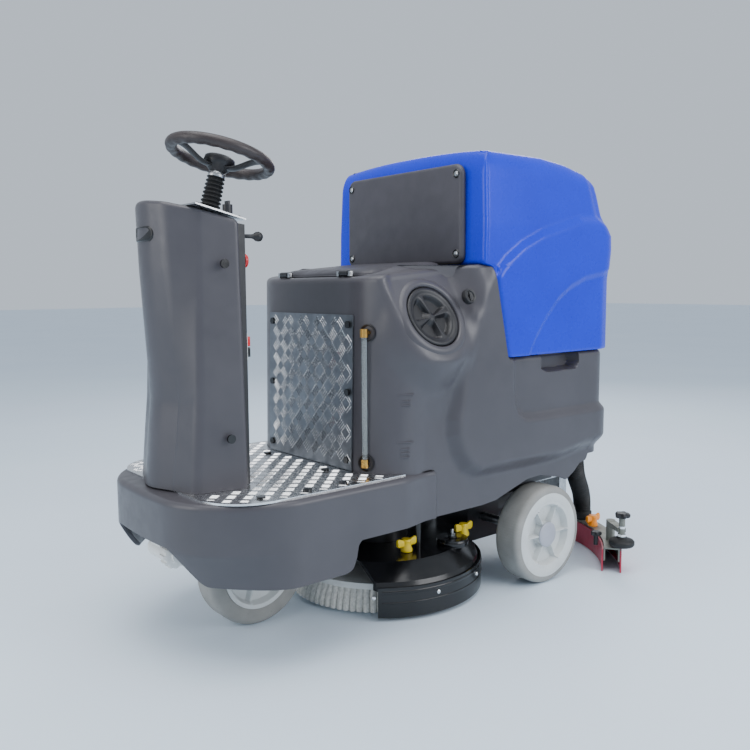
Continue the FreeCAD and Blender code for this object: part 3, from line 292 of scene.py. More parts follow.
# %% The finishes of this machine
# Rotomoulded polyethylene: a dull skin with a faint orange peel from the mould's wall.
grey_polyethylene = finish("grey_rotomoulded_polyethylene", ("#454348", "#4a484d"), (0.3, 0.42), 3.0, 0.02,
                           mottle_mm=120, extra={"Specular IOR Level": 0.45})
blue_polyethylene = finish("blue_rotomoulded_polyethylene", ("#0024c6", "#0027ce"), (0.27, 0.28), 14.0, 0.0,
                           mottle_mm=140, extra={"Specular IOR Level": 0.35})
# Moulded ABS: black parts with a fine spark-eroded grain, and a smoother grade that shines.
black_abs = finish("black_moulded_abs", ("#17171a", "#1f1e22"), (0.35, 0.5), 1.2, 0.05, wear="#2b2a2e")
gloss_abs = finish("black_gloss_abs", ("#0d0d0f", "#141416"), (0.14, 0.26), 5, 0.04, wear="#232326")
panel_abs = finish("charcoal_moulded_abs", ("#3f3d44", "#45434a"), (0.42, 0.55), 1.2, 0.09, mottle_mm=40)
steering_foam = finish("brown_black_moulded_grip", ("#2b2425", "#352c2c"), (0.36, 0.5), 1.4, 0.12)
coated_vinyl = finish("charcoal_vinyl_skin", ("#37353b", "#403e45"), (0.42, 0.56), 1.8, 0.16, wear="#4b4950")
# Rubbers: the non-marking tyre is a pale compound that dirties on its tread.
pale_rubber = finish("non_marking_grey_rubber", ("#8b8a86", "#9a9995"), (0.62, 0.8), 1.5, 0.12,
                     wear="#75736e")
black_rubber = finish("black_moulded_rubber", ("#111112", "#1a1a1b"), (0.5, 0.66), 1.5, 0.08, wear="#262627")
red_polyurethane = finish("red_polyurethane_blade", ("#a5203a", "#c23350"), (0.3, 0.45), 3, 0.05,
                          wear="#8a1c30")
# Nylon and polypropylene: wheel centres, bristles, small bright fittings.
pale_nylon = finish("pale_moulded_nylon", ("#c9cccb", "#d6d9d7"), (0.32, 0.46), 2, 0.05, wear="#b2b3af")
grey_nylon = finish("grey_hub_cap_nylon", ("#a2a5b0", "#adb0ba"), (0.35, 0.45), 2, 0.05)
bristle_nylon = finish("nylon_bristle", ("#bdbdb8", "#dadad4"), (0.45, 0.6), 1.2, 0.3, mottle_mm=6)
yellow_nylon = finish("yellow_moulded_nylon", ("#f2cc14", "#f8d92c"), (0.28, 0.4), 2, 0.05, wear="#dcb40c")
orange_nylon = finish("orange_moulded_nylon", ("#f78c0a", "#ff9d1c"), (0.28, 0.4), 2, 0.05)
red_abs = finish("red_moulded_abs", ("#c4151c", "#d9232a"), (0.2, 0.3), 2, 0.03)
white_abs = finish("white_moulded_abs", ("#d8d9d6", "#e4e5e2"), (0.3, 0.42), 2, 0.05)
# Metals: rolled aluminium, zinc-plated and brushed steel, chrome, brass, enamelled iron.
chequer_aluminium = finish("rolled_chequer_aluminium", ("#d3d4d6", "#e6e7e8"), (0.16, 0.34), 3, 0.12,
                           mottle_mm=30, metallic=1.0, wear="#bfc0c2", rough_mm=12)
# The access plate is the same rolled aluminium as its bars, painted darker as shade so that the bars read
# bright; the wear tone adds random scuffs.
aluminium_painted_shade = finish("aluminium_plate_painted_shade_and_scuffs", ("#74777c", "#85888d"), (0.3, 0.44), 3, 0.06,
                         mottle_mm=30, metallic=1.0, wear="#5f6267", rough_mm=12)
brushed_steel = finish("brushed_steel", ("#b6b8bb", "#c8cacc"), (0.24, 0.4), 1.2, 0.05, metallic=1.0)
zinc_steel = finish("zinc_plated_steel", ("#a8aaad", "#c0c2c3"), (0.22, 0.4), 2, 0.04, mottle_mm=8,
                    metallic=1.0)
chrome = finish("polished_chrome", ("#dfe1e3", "#e8eaeb"), (0.05, 0.12), 5, 0.01, metallic=1.0)
turned_brass = finish("turned_brass", ("#b98b45", "#cfa45a"), (0.2, 0.36), 1.2, 0.04, mottle_mm=8,
                      metallic=1.0)
black_enamel = finish("black_enamelled_iron", ("#151517", "#1d1d20"), (0.28, 0.42), 2, 0.08, wear="#2c2c2f")
grey_casting = finish("olive_grey_casting", ("#6f7068", "#85867e"), (0.38, 0.55), 1.5, 0.12, mottle_mm=20,
                      metallic=0.35, wear="#96978f")
# Clear vinyl tube: mostly see-through, with a soft shine along its length.
clear_vinyl = finish("clear_vinyl_tube", ("#dfe6e6", "#eaf0f0"), (0.08, 0.16), 4, 0.02,
                     extra={"Transmission Weight": 0.85, "IOR": 1.45})
print(len(bpy.data.materials), "finishes")

# %% Finishes for the CAD nodes that stay
node_finish = {
    grey_polyethylene: "solution_tank front_cowl", blue_polyethylene: "recovery_tank recovery_lid",
    panel_abs: "backrest_panel", coated_vinyl: "seat_cushion",
    black_abs: "dash_panel filler_cap direction_lever seat_pan charging_connector vent_plug vacuum_motor "
               "motor_controller batteries squeegee_knob_left squeegee_knob_right key_switch",
    gloss_abs: "brush_deck cup_screws cowl_lamp splash_skirt",
    black_rubber: "steering_boot suction_hose lid_gasket bumper_roller_left bumper_roller_right",
    steering_foam: "steering_wheel", pale_rubber: "front_tyre rear_tyre_left rear_tyre_right",
    pale_nylon: "front_rim rear_rim_left rear_rim_right brush_disc", bristle_nylon: "brush_bristles",
    yellow_nylon: "wing_knob_front wing_knob_rear", red_abs: "emergency_button",
    red_polyurethane: "squeegee_blades", white_abs: "filter_cap filter_housing",
    aluminium_painted_shade: "access_plate", chequer_aluminium: "foot_plate accelerator_pedal",
    brushed_steel: "console_plate steering_shaft",
    zinc_steel: "column_shaft fork half_shaft_left half_shaft_right seat_hinge_pins tank_hinges "
                "steering_chain squeegee_arm",
    turned_brass: "sight_tube_elbows", black_enamel: "transaxle brush_motor", grey_casting: "squeegee_body",
    clear_vinyl: "sight_tube",
}
for material, names in node_finish.items():
    for name in names.split():
        node = frame["nodes"][name]
        node.data.materials.clear()
        node.data.materials.append(material)
print(len(frame["nodes"]), "nodes,", sum(len(n.split()) for n in node_finish.values()), "with a finish")

# %% [markdown]
# ## Camera, light and floor
# The machine is seen from its front left, a little above its seat. Broad soft lamps stand in for
# a bright hall, and a plain pale floor takes the shadow.

# %% Camera
camera = bpy.data.objects.new("camera", bpy.data.cameras.new("camera"))
bpy.context.scene.collection.objects.link(camera)
bearing, pitch, roll = math.radians(50.6), math.radians(6.2), math.radians(-0.3)
level_way = math.cos(pitch)
look = Vector((-math.cos(bearing) * level_way, -math.sin(bearing) * level_way, -math.sin(pitch)))
right = look.cross(Vector((0, 0, 1))).normalized()
up = right.cross(look)
across = right * math.cos(roll) + up * math.sin(roll)
upward = across.cross(look)
camera.matrix_world = Matrix((across, upward, -look)).transposed().to_4x4()
camera.location = Vector((1327.3, 1549.4, 753.9)) * MM
camera.data.sensor_width = 36
camera.data.lens = 38.6
bpy.context.scene.camera = camera

# %% Light and floor
world = bpy.data.worlds.new("hall")
world.use_nodes = True
world.node_tree.nodes["Background"].inputs[0].default_value = linear("#dfeaf7")
world.node_tree.nodes["Background"].inputs[1].default_value = 0.85
bpy.context.scene.world = world


def lamp(name, place, target, size, power, colour="#ffffff"):
    """A soft rectangular lamp that faces a point."""
    light = bpy.data.lights.new(name, "AREA")
    light.shape, light.size, light.size_y = "RECTANGLE", size[0], size[1]
    light.energy, light.color = power, linear(colour)[:3]
    holder = bpy.data.objects.new(name, light)
    bpy.context.scene.collection.objects.link(holder)
    holder.location = place
    holder.rotation_euler = (Vector(target) - Vector(place)).to_track_quat("-Z", "Y").to_euler()


lamp("roof_lamp", (0.6, 0.4, 3.4), (0, 0, 0.4), (3.2, 2.6), 92)
lamp("left_lamp", (-1.2, 3.2, 1.9), (0, 0, 0.5), (2.4, 1.8), 72, "#fbfcff")
lamp("front_lamp", (3.4, -0.4, 1.6), (0.1, 0, 0.6), (1.6, 2.0), 38, "#fffdfa")
lamp("back_lamp", (-2.8, -2.2, 2.4), (0, 0, 0.6), (2.0, 1.6), 36)
floor_mesh = bpy.data.meshes.new("floor")
reach = 30.0
floor_mesh.from_pydata([(-reach, -reach, 0), (reach, -reach, 0), (reach, reach, 0), (-reach, reach, 0)], [],
                       [(0, 1, 2, 3)])
floor = bpy.data.objects.new("floor", floor_mesh)
bpy.context.scene.collection.objects.link(floor)
# A sealed floor: pale and nearly matt.
sealed_floor = finish("sealed_floor", ("#dcebf8", "#e0eefa"), (0.5, 0.6), 40, 0.02, mottle_mm=900)
floor_mesh.materials.append(sealed_floor)
print("camera, four lamps and a floor")

# %% [markdown]
# ## The main moulding
# The grey body is one rotomoulded tank. Its wall is a curtain hung round a plan, so two numbers
# give every point: how far round the plan, and how far up. Formulas then push the wall in and
# out for the proud fender, the shallow pocket, the hand grip and the filler's slanted collar.

# %% The shape of the wall
FENDER = [(-65, 830), (-65, 797), (-25, 724), (16, 611), (37, 499), (47, 454), (46, 418), (30, 376), (4, 342),
          (-32, 325), (-340, 325), (-430, 338), (-700, 352), (-700, 830)]
POCKET = [(-150, 640), (-153, 494), (-166, 456), (-190, 440), (-230, 436), (-700, 436), (-700, 640)]
GRIP = [(-262, 640), (-263, 552), (-287, 543), (-398, 545), (-409, 560), (-409, 640)]
FILLER = np.array([FRONT - 154, HALF - 23, RIM - 88])
FILLER_TILT = math.radians(27)


def inside(outline, x, z):
    """How far a place is inside a closed outline: negative outside. It is the least distance to
    the outline's sides, with its sign from how many sides a line from the place crosses."""
    corners = np.array(outline, float)
    nearest, within = np.full(x.shape, 1e9), np.zeros(x.shape, bool)
    for (ax, az), (bx, bz) in zip(corners, np.roll(corners, -1, axis=0)):
        run, climb = bx - ax, bz - az
        part = np.clip(((x - ax) * run + (z - az) * climb) / (run ** 2 + climb ** 2), 0, 1)
        nearest = np.minimum(nearest, np.hypot(x - ax - part * run, z - az - part * climb))
        if az != bz:
            crosses = ((az > z) != (bz > z)) & (x < ax + (z - az) / (bz - az) * (bx - ax))
            within ^= crosses
    return np.where(within, nearest, -nearest)


def relief(x, z):
    """How far the side wall stands in from the machine's full width: the fender is proud of the
    waist, the pocket and the grip are sunk into it, each with a rounded edge."""
    rear_part = 1 - step(119, 200, x)
    near_filler = 1 - step(110, 250, np.hypot(x - FILLER[0], z - FILLER[2]))
    waist = -24 * (1 - step(-24, 16, inside(FENDER, x, z))) * (1 - 0.6 * near_filler)
    pocket = -14 * step(-14, 10, inside(POCKET, x, z))
    grip = -34 * step(-3, 4, inside(GRIP, x, z))
    return rear_part * (waist + pocket) + grip


def filler_collar(x, y, z):
    """The left wall's Y near the filler: a slanted flat that the cap's ring stands on. Below it
    the flat fades into the wall over a longer way, so the wall never folds."""
    slant = np.maximum(z - FILLER[2], -96) * math.sin(FILLER_TILT)
    rise = (z - FILLER[2]) / math.cos(FILLER_TILT)
    distance = np.hypot(x - FILLER[0], rise)
    below = step(-10, 60, FILLER[2] - z)
    flank = np.hypot((x - FILLER[0]) * (1 + 0.45 * below), rise)

    def plane(depth):
        """The slanted flat's Y at a depth along its own way out."""
        return FILLER[1] + (depth - slant) / math.cos(FILLER_TILT)
    ring = plane(2 - 18 * (1 - step(72, 79, distance)))
    sideways = 1 - step(86, 150, np.abs(x - FILLER[0]))
    above = step(-10, 30, z - FILLER[2]) * sideways
    shoulder = y + above * (np.minimum(y, plane(2)) - y)
    return shoulder + (1 - step(92, 124 + 80 * below, flank)) * (ring - shoulder)


def top_of(x):
    """The rim's height: it climbs to the back of the seat, then drops down the shoulder."""
    return along_line([(FRONT, RIM), (PANEL, RIM_BACK), (PANEL - 27, RIM_BACK - 5),
                       (PANEL - 34, RIM_BACK - 24), (PANEL - 76, JOINT + 12), (PANEL - 84, JOINT),
                       (TAIL, JOINT)], x)


def bottom_of(x):
    """The skirt's lower edge: level, then stepped over the wheel and up to the tail."""
    return along_line([(-700, 306), (-474, 306), (-466, 290), (-438, 284), (-416, 266), (-384, 248),
                       (-352, 260), (-279, 276), (-226, 274), (-169, 258), (-108, 240), (-60, 236),
                       (700, 236)], x)


# %% The body from the seat box to the tail
def body_skin():
    """The curtain round the seat box, shoulders and tail, with its rim, seat well and floor."""
    corners = [(FRONT, -HALF), (FRONT, HALF), (TAIL, HALF), (TAIL, -HALF)]
    counts = [(44, 22), (12, 34), (118, 16), (16, 16)]
    plan, normal = loop(corners, [140, 140, 80, 80], counts)
    x, y = plan.T
    top, low = top_of(x), bottom_of(x) + (DECK - 16 - 236) * step(119, 256, x)
    round_edge = 13
    rise = np.linspace(0, 1, 112)
    z = low[:, None] + rise * (top - round_edge - low)[:, None]
    offset = relief(x[:, None] + 0 * z, z)
    lean = -10 * (z - DECK) / (RIM - DECK) * step(0.2, 0.95, normal[:, :1])
    wall = np.stack([x[:, None] + normal[:, :1] * (offset + lean), y[:, None] + normal[:, 1:] * offset,
                     z], -1)
    left = wall[..., 1] > 120
    wall[..., 1] = np.where(left, filler_collar(wall[..., 0], wall[..., 1], z), wall[..., 1])
    quarter = np.linspace(0.2, 1, 6) * np.pi / 2
    crest = wall[:, -1:, :2] - normal[:, None] * (round_edge * (1 - np.cos(quarter)))[:, None]
    crest = np.dstack([crest, (top - round_edge)[:, None] + round_edge * np.sin(quarter)])
    well, _ = loop([(FRONT - 26, -188), (FRONT - 26, 188), (PANEL + 14, 188), (PANEL + 14, -188)],
                   [48, 48, 14, 14], counts)
    tank_side = (x < PANEL + 20)[:, None]
    inner = np.where(tank_side, plan - normal * 50, well)
    inner[:, 0] = np.where(tank_side[:, 0], np.minimum(inner[:, 0], PANEL + 14), inner[:, 0])
    shelf = crest[:, -1:, :2] + np.linspace(0.34, 1, 3)[:, None] * (inner[:, None] - crest[:, -1:, :2])
    shelf = np.dstack([shelf, np.repeat(top[:, None], 3, 1)])
    edge = np.dstack([inner[:, None], (top - 26)[:, None]])
    bay, _ = loop([(FRONT - 30, -195), (FRONT - 30, 195), (AXLE - 42, 195), (AXLE - 42, -195)],
                  [20, 20, 10, 10], counts)
    ceiling = np.where(tank_side[:, 0], np.minimum(top - 30, 572), top - 32)
    room = np.stack([np.dstack([bay[:, None], height[:, None]])[:, 0]
                     for height in (ceiling, np.full(len(x), DECK - 12))], 1)
    under = wall[:, 0, :2] - normal * 12
    lip = wall[:, :1, :2] - normal[:, None] * np.array([[9.0], [4.0]])
    lip = np.dstack([lip, low[:, None] + np.array([5.0, -1.0])])
    belly = np.dstack([under[:, None], np.full((len(x), 1), 303.0)])
    return skin(np.concatenate([belly, lip, wall, crest, shelf, edge, room], 1))


def seat_back_bridge():
    """The bar between the seat well and the tank: a side view carried across the machine."""
    side = np.array([(PANEL + 14, RIM_BACK - 1), (PANEL - 6, RIM_BACK), (PANEL - 27, RIM_BACK - 5),
                     (PANEL - 34, RIM_BACK - 24), (PANEL - 75, JOINT + 12), (PANEL - 75, 566),
                     (PANEL + 14, 566)])
    across_way = np.array([-HALF + 30, HALF - 30])
    grid = np.stack([side[:, None, 0] + 0 * across_way, across_way + 0 * side[:, :1],
                     side[:, None, 1] + 0 * across_way], -1)
    return skin(grid[::-1])


# %% [markdown]
# The deck tub in front of the seat box is a second curtain. Its nose leans back under the
# waist and its lower edge arches over the steered wheel.

# %% The deck tub
def tub_skin():
    """The curtain round the driver's deck: a flat top for the foot plate and an arched front."""
    corners = [(NOSE, -HALF), (NOSE, HALF), (96, HALF), (96, -HALF)]
    plan, normal = loop(corners, [185, 185, 4, 4], [(70, 40), (26, 40), (80, 2), (10, 2)])
    x, y = plan.T
    bow = 38 * np.clip(np.abs(y) / HALF, 0, 1) ** 2.2 * step(380, 560, x)
    plan = np.column_stack([x - bow, y * (1 - 16.3 / HALF * (1 - step(119, 210, x)))])
    low = along_line([(0, 236), (326, 236), (334, 226), (340, 196), (350, 178), (366, 173), (700, 173)], x)
    low = low + 78 * step(188, 112, np.abs(y)) * step(0.2, 0.6, normal[:, 0])
    top, round_edge = DECK - 3.6, 12
    z = low[:, None] + np.linspace(0, 1, 48) * (top - round_edge - low)[:, None]
    offset = -0.46 * np.clip(246 - z, 0, None) * step(0.1, 0.9, normal[:, :1])
    wall = np.dstack([plan[:, None] + normal[:, None] * offset[..., None], z])
    quarter = np.linspace(0.2, 1, 6) * np.pi / 2
    crest = wall[:, -1:, :2] - normal[:, None] * (round_edge * (1 - np.cos(quarter)))[:, None]
    crest = np.dstack([crest, top - round_edge + round_edge * np.sin(quarter) + 0 * x[:, None]])
    shelf = np.dstack([(plan - normal * 60)[:, None], np.full((len(x), 1), top)])
    lip = wall[:, :1, :2] - normal[:, None] * np.array([[9.0], [4.0]])
    lip = np.dstack([lip, low[:, None] + np.array([5.0, -1.0])])
    belly = np.dstack([(plan - normal * 14)[:, None], np.full((len(x), 1), 301.0)])
    return skin(np.concatenate([belly, lip, wall, crest, shelf], 1))


def belly_block():
    """The flat floor between the rear wheels that the drive hangs from."""
    plan, normal = loop([(-180, -190), (-180, 190), (-420, 190), (-420, -190)], [12] * 4, [(4, 4)] * 4)
    height = np.array([236.2, 308.0])
    return skin(np.dstack([plan[:, None] + 0 * height[:, None], height + 0 * plan[:, :1]]))


def level_marks():
    """Moulded level marks beside the tube: one long bar and, under it, one to three short ones."""
    marks = []
    for level, height in enumerate((628, 524, 420)):
        for number in range(level + 2):
            half_angle = 0.13 if number == 0 else 0.07
            angle = np.linspace(1.04 - half_angle, 1.04 + half_angle, 9)[None]
            z = height - (14 + 9 * (number - 1)) * (number > 0)
            lean = -10 * (z - DECK) / (RIM - DECK)
            radius = np.array([138.5, 141.4, 141.4, 138.5])[:, None]
            rise = np.array([-2.2, -1.3, 1.3, 2.2])[:, None]
            marks.append(skin(np.stack([FRONT - 140 + lean * 0.6 + radius * np.cos(angle),
                                        HALF - 140 + radius * np.sin(angle), z + rise + 0 * angle], -1)))
    return marks


make("main_moulding", [body_skin()], grey_polyethylene, "chassis", ["solution_tank"], sharp=50)
make("deck_tub", [tub_skin(), seat_back_bridge(), belly_block()], grey_polyethylene, "chassis",
     sharp=50)
make("level_marks", level_marks(), grey_polyethylene, "chassis")

# %% [markdown]
# ## The recovery tank
# The blue tank is a loft: each level is a round-cornered plan, and the last levels shrink to the
# crown. Two soft swoosh lines run up its side towards the back, where the tank swells out.

# %% The tank's skin
def tank_section(z):
    """The tank's plan at one height: front and rear places, half width and corner radii."""
    front = along_line([(0, PANEL - 77), (JOINT, PANEL - 77), (RIM_BACK - 6, PANEL - 30),
                        (RIM_BACK, PANEL - 9), (RIM_BACK + 4, PANEL), (TANK_TOP, PANEL - 6)], z)
    rear = along_line([(0, TAIL + 2), (770, TAIL + 1), (796, TAIL - 3), (850, TAIL - 10), (886, TAIL - 8),
                       (912, TAIL + 12), (940, TAIL + 34), (994, TAIL + 52), (1040, TAIL + 76)], z)
    half = HALF - 1 - 0.05 * max(z - 900, 0)
    return loop([(front, -half), (front, half), (rear, half), (rear, -half)], [20, 20, 72, 72],
                [(30, 8), (14, 8), (86, 18), (30, 18)])


def tank_relief(x, z):
    """The side's swell: sunk above the upper swoosh line and below the lower one."""
    upper = along_line([(-700, 925), (-564, 918), (-474, 928), (-400, 926), (-323, 904), (-250, 885),
                        (-178, 855), (-120, 818), (-80, 776), (-62, 700), (-40, 560)], x)
    lower = along_line([(-700, 806), (-564, 800), (-481, 786), (-420, 776), (-360, 754), (-310, 724),
                        (-265, 680), (-228, 634), (-205, 596), (-170, 500), (0, 300)], x)
    return -13 * step(-15, 13, z - upper) - 8 * (1 - step(-13, 11, z - lower))


def roof(x, y):
    """The crown: highest just behind the back rest and falling to the rear and both sides."""
    ridge = along_line([(0, 1071), (-40, 1074), (-90, 1079), (-279, 1080), (-371, 1071), (-442, 1056),
                        (-490, 1040), (-600, 1010)], x)
    return ridge - 15 * np.abs(y / HALF) ** 2.4


def tank_skin():
    """The loft from the parting line to the middle of the crown."""
    levels = np.concatenate([[JOINT + 8.5, JOINT + 4.5, JOINT + 2], np.linspace(JOINT + 6, 1006, 104)])
    rows = []
    for number, z in enumerate(levels):
        plan, normal = tank_section(z)
        side = step(0.6, 0.95, np.abs(normal[:, 1]))
        inward = {0: -8.0, 1: -5.0, 2: -1.5}.get(number, 0.0)
        offset = inward + side * tank_relief(plan[:, 0], np.full(len(plan), z))
        rows.append(np.column_stack([plan + normal * offset[:, None], np.full(len(plan), z)]))
    wall = np.stack(rows, 1)
    edge = wall[:, -1]
    plan, normal = tank_section(levels[-1])
    angle = np.linspace(0.12, 1, 10) * np.pi / 2
    reach_in = 30 + 26 * step(0.5, 1, -normal[:, 0]) - 4 * step(0.5, 1, normal[:, 0])
    around = edge[:, None, :2] - normal[:, None] * (reach_in[:, None] * (1 - np.cos(angle)))[..., None]
    height = roof(around[..., 0], around[..., 1])
    crest = np.dstack([around, edge[:, 2:] + (height - edge[:, 2:]) * np.sin(angle)])
    share = np.linspace(0.96, 0.0, 26)[:, None]
    centre = np.array([AXLE, 0.0])
    flat = centre + share * (crest[:, -1:, :2] - centre)
    crown = np.dstack([flat, roof(flat[..., 0], flat[..., 1])])
    return skin(np.concatenate([wall, crest, crown], 1))


make("tank_moulding", [tank_skin()], blue_polyethylene, "upper_tank", ["recovery_tank"],
     sharp=60)


# %% The tank's round lid and the back rest
lid_top = box("recovery_lid")[1][2]


def lid_grip(angle, radius, _):
    """No ripple in the middle, a fine finger grip of 60 ribs at the rim."""
    return 0.5 * np.sin(60 * angle) * (radius > 130)


make("lid_disc", [spun([(0, lid_top - 10), (133, lid_top - 10), (134, lid_top - 8), (133.4, lid_top - 2),
                        (131, lid_top - 0.3), (112, lid_top), (110, lid_top - 1.6), (60, lid_top - 1.6),
                        (58, lid_top), (0, lid_top)], (AXLE, 0, 0), count=240, ripple=lid_grip)],
     blue_polyethylene, "tank_lid", ["recovery_lid"])
rest_low, rest_high = box("backrest_panel")
rest_half, rest_foot, rest_head = rest_high[1], rest_low[2], rest_high[2]
rest_plan = [(-rest_half, rest_foot), (rest_half, rest_foot),
             (rest_half - 2, rest_head), (-rest_half + 2, rest_head)]
FACING = (np.array([0, 1.0, 0]), np.array([0, 0, 1.0]), np.array([1.0, 0, 0]))
make("back_rest", [slab(rest_plan, [22, 22, 26, 26], [(24, 8)] * 4, FACING, (PANEL - 4, 0, 0), 19, 9)],
     panel_abs, "upper_tank", ["backrest_panel"])


def cup_screw(centre, direction, radius=10.0):
    """A cup washer's dish with a domed screw in it, turned on one line."""
    washer = hoop([(radius - 3.4, -1), (radius - 0.5, -1), (radius, 0.6), (radius - 1.4, 2.6),
                   (radius - 3.4, 2.0)], centre, direction, 24)
    dome = spun([(0, -0.5), (radius - 3.6, -0.5), (radius - 3.6, 0.8), (radius - 5.5, 2.4), (0, 3.0)],
                centre, direction, 20)
    return washer, dome


screws = [cup_screw((PANEL + 14.6, side * (rest_half - 19), height), (1, 0, 0), 10.5)
          for side in (1, -1) for height in (rest_foot + 24, rest_head - 24)]
make("back_rest_washers", [s[0] for s in screws], gloss_abs, "upper_tank")
make("back_rest_screws", [s[1] for s in screws], zinc_steel, "upper_tank")

# %% [markdown]
# ## Filler, vent and level tube
# The filler cap is a turned black disc with four petals sunk in its face for the fingers. A grey
# ring round it is part of the moulding.

# %% Filler cap and ring
FILLER_OUT = (0, math.cos(FILLER_TILT), math.sin(FILLER_TILT))


def cap_face():
    """The cap: a grid of angle and radius whose height dips in four petals between a cross."""
    angle = np.linspace(0, 2 * np.pi, 96, endpoint=False)[:, None]
    rim = np.array([(69, -12), (70.6, -9), (71, -2), (70, 2.4), (66.5, 4.2), (62, 4.0), (58.5, 1.4),
                    (56.5, 0.6)])
    face = np.linspace(55, 0, 26)
    radius = np.concatenate([rim[:, 0], face])[None] + 0 * angle
    quarter = np.abs(np.cos(2 * angle + np.pi / 2 * 0.6))
    dish = -13 * step(0.20, 0.62, quarter) * step(4, 24, face) * (1 - step(44, 54, face))
    floor_height = 0.4 + dish - 1.6 * (1 - step(0, 50, face)) + 0 * angle
    height = np.concatenate([rim[:, 1] + 0 * angle, floor_height], 1)
    first, second, out = axes(FILLER_OUT)
    round_way = np.cos(angle)[..., None] * first + np.sin(angle)[..., None] * second
    return skin(FILLER + radius[..., None] * round_way + height[..., None] * out)


make("filler_cap_face", [cap_face()], black_abs, "filler_cap", ["filler_cap"], sharp=50)
ring_profile = [(72.5, -12), (73, 2), (75, 5), (79, 6.4), (84, 6.0), (91, 3.2), (96, -3), (92, -14)]
make("filler_ring", [hoop(ring_profile, FILLER, FILLER_OUT, 96)], grey_polyethylene, "chassis")
vent_low, vent_high = box("vent_plug")
vent = ((vent_low + vent_high) / 2)[[0, 2]]
vent_place = np.array([vent[0], HALF - 12, vent[1]])
vent_way = (0, math.cos(0.3), math.sin(0.3))
vent_profile = [(0, 0), (17, 0), (17, 10), (16, 12.6), (12.5, 12), (11, 9.5), (5, 9), (4, 8), (0, 6)]
vent_bar = [(-1.6, -10), (1.6, -10), (1.6, 10), (-1.6, 10)]
make("vent_face", [spun(vent_profile, vent_place, vent_way, 40),
                   slab(vent_bar, [1] * 4, [(2, 3)] * 4, vent_way, vent_place, 11.5, 0.6)],
     black_abs, "chassis", ["vent_plug"])

# %% Elbow recesses of the level tube
elbow_low, elbow_high = box("sight_tube_elbows")
sight_y = (elbow_high[1] + elbow_low[1]) / 2
lean_out = (math.cos(0.43), math.sin(0.43), 0)
dishes = []
dish_profile = [(19, -6), (19, 1), (17.5, 1.8), (15.5, 0), (15, -6), (0, -6)]
for height in (elbow_low[2] + 9, elbow_high[2] - 9):
    seat = np.array([FRONT - 9 - 10 * (height - DECK) / (RIM - DECK), sight_y, height])
    dishes.append(spun(dish_profile, seat, lean_out, 36))
make("elbow_recesses", dishes, black_abs, "chassis")

# %% [markdown]
# ## Chequer plate
# Rolled aluminium plate carries groups of five raised bars that turn left and right by turns.
# One bar is a small lens of a few faces, copied by adding arrays of places to its points.

# %% Raised bars
def bars(place, across_way, up_way, out_way, width, height, keep, pitch=33.0):
    """Five-bar groups on a flat: a lens is moved to every group and turned 45 degrees each way."""
    size = pitch / 33
    ends = size * np.array([(-13, 0, 0), (-8, -1.4, 0), (8, -1.4, 0), (13, 0, 0), (8, 1.4, 0), (-8, 1.4, 0),
                            (-9, 0, 1.1), (9, 0, 1.1)])
    sides = [[0, 1, 6], [1, 2, 7, 6], [2, 3, 7], [3, 4, 7], [4, 5, 6, 7], [5, 0, 6], [5, 4, 3, 2, 1, 0]]
    column, row = np.meshgrid(np.arange(int(width / pitch) + 1), np.arange(int(height / pitch) + 1),
                              indexing="ij")
    middle = np.stack([column * pitch - width / 2, row * pitch - height / 2], -1).reshape(-1, 2)
    turn = np.where((column + row) % 2 == 0, 1, -1).reshape(-1) * np.pi / 4
    number = np.arange(5) - 2
    sideways = np.stack([-np.sin(turn), np.cos(turn)], -1)
    spot = middle[:, None] + number[None, :, None] * 6.0 * size * sideways[:, None]
    turn = np.repeat(turn, 5)
    spot = spot.reshape(-1, 2)
    inside_plate = keep(spot)
    spot, turn = spot[inside_plate], turn[inside_plate]
    flat_x = spot[:, :1] + np.cos(turn)[:, None] * ends[:, 0] - np.sin(turn)[:, None] * ends[:, 1]
    flat_y = spot[:, 1:] + np.sin(turn)[:, None] * ends[:, 0] + np.cos(turn)[:, None] * ends[:, 1]
    points = (np.array(place, float) + flat_x[..., None] * across_way + flat_y[..., None] * up_way
              + ends[:, 2][None, :, None] * out_way)
    shift = (np.arange(len(spot)) * len(ends))[:, None]
    return points, [np.array(side)[None] + shift for side in sides]


access_low, access_high = box("access_plate")
access_half, access_rise = access_high[1], access_high[2] - access_low[2]
access_lean = np.array([-10 / (RIM - DECK), 0, 1])
access_lean /= np.linalg.norm(access_lean)
access_out = np.array([access_lean[2], 0, -access_lean[0]])
access_middle = np.array([FRONT + 3.15 - 10 * (access_rise / 2) / (RIM - DECK), 0,
                          access_low[2] + access_rise / 2])


def on_access_plate(spot):
    """Bars kept ten millimetres inside the access plate's edges."""
    return (np.abs(spot[:, 0]) < access_half - 10) & (np.abs(spot[:, 1]) < access_rise / 2 - 10)


make("access_plate_bars", [bars(access_middle, np.array([0, 1.0, 0]), access_lean, access_out,
                                2 * access_half, access_rise, on_access_plate)],
     chequer_aluminium, "chassis", sharp=8)
foot_low, foot_high = box("foot_plate")
foot_middle = np.array([(foot_low[0] + foot_high[0]) / 2, 0, DECK - 0.05])
foot_size = foot_high - foot_low


def on_foot_plate(spot):
    """Bars kept on the foot plate: inside its rounded front and clear of the seat box and cowl."""
    x, y = spot[:, 0] + foot_middle[0], np.abs(spot[:, 1])
    corner = np.hypot(np.clip(x - (foot_high[0] - 114), 0, None),
                      np.clip(y - (foot_high[1] - 114), 0, None)) < 104
    box_corner = np.hypot(np.clip(x - (FRONT - 140), 0, None), np.clip(y - (HALF - 140), 0, None)) > 152
    clear_box = (x > FRONT + 12) | ((y > HALF - 140) & box_corner)
    return corner & (y < foot_high[1] - 9) & clear_box & (x > foot_low[0] + 8) & ~((x > 492) & (y < 148))


level_axes = np.eye(3)
make("foot_plate_bars", [bars(foot_middle, *level_axes, foot_size[0], foot_size[1], on_foot_plate, 24.0)],
     chequer_aluminium, "chassis", sharp=8)

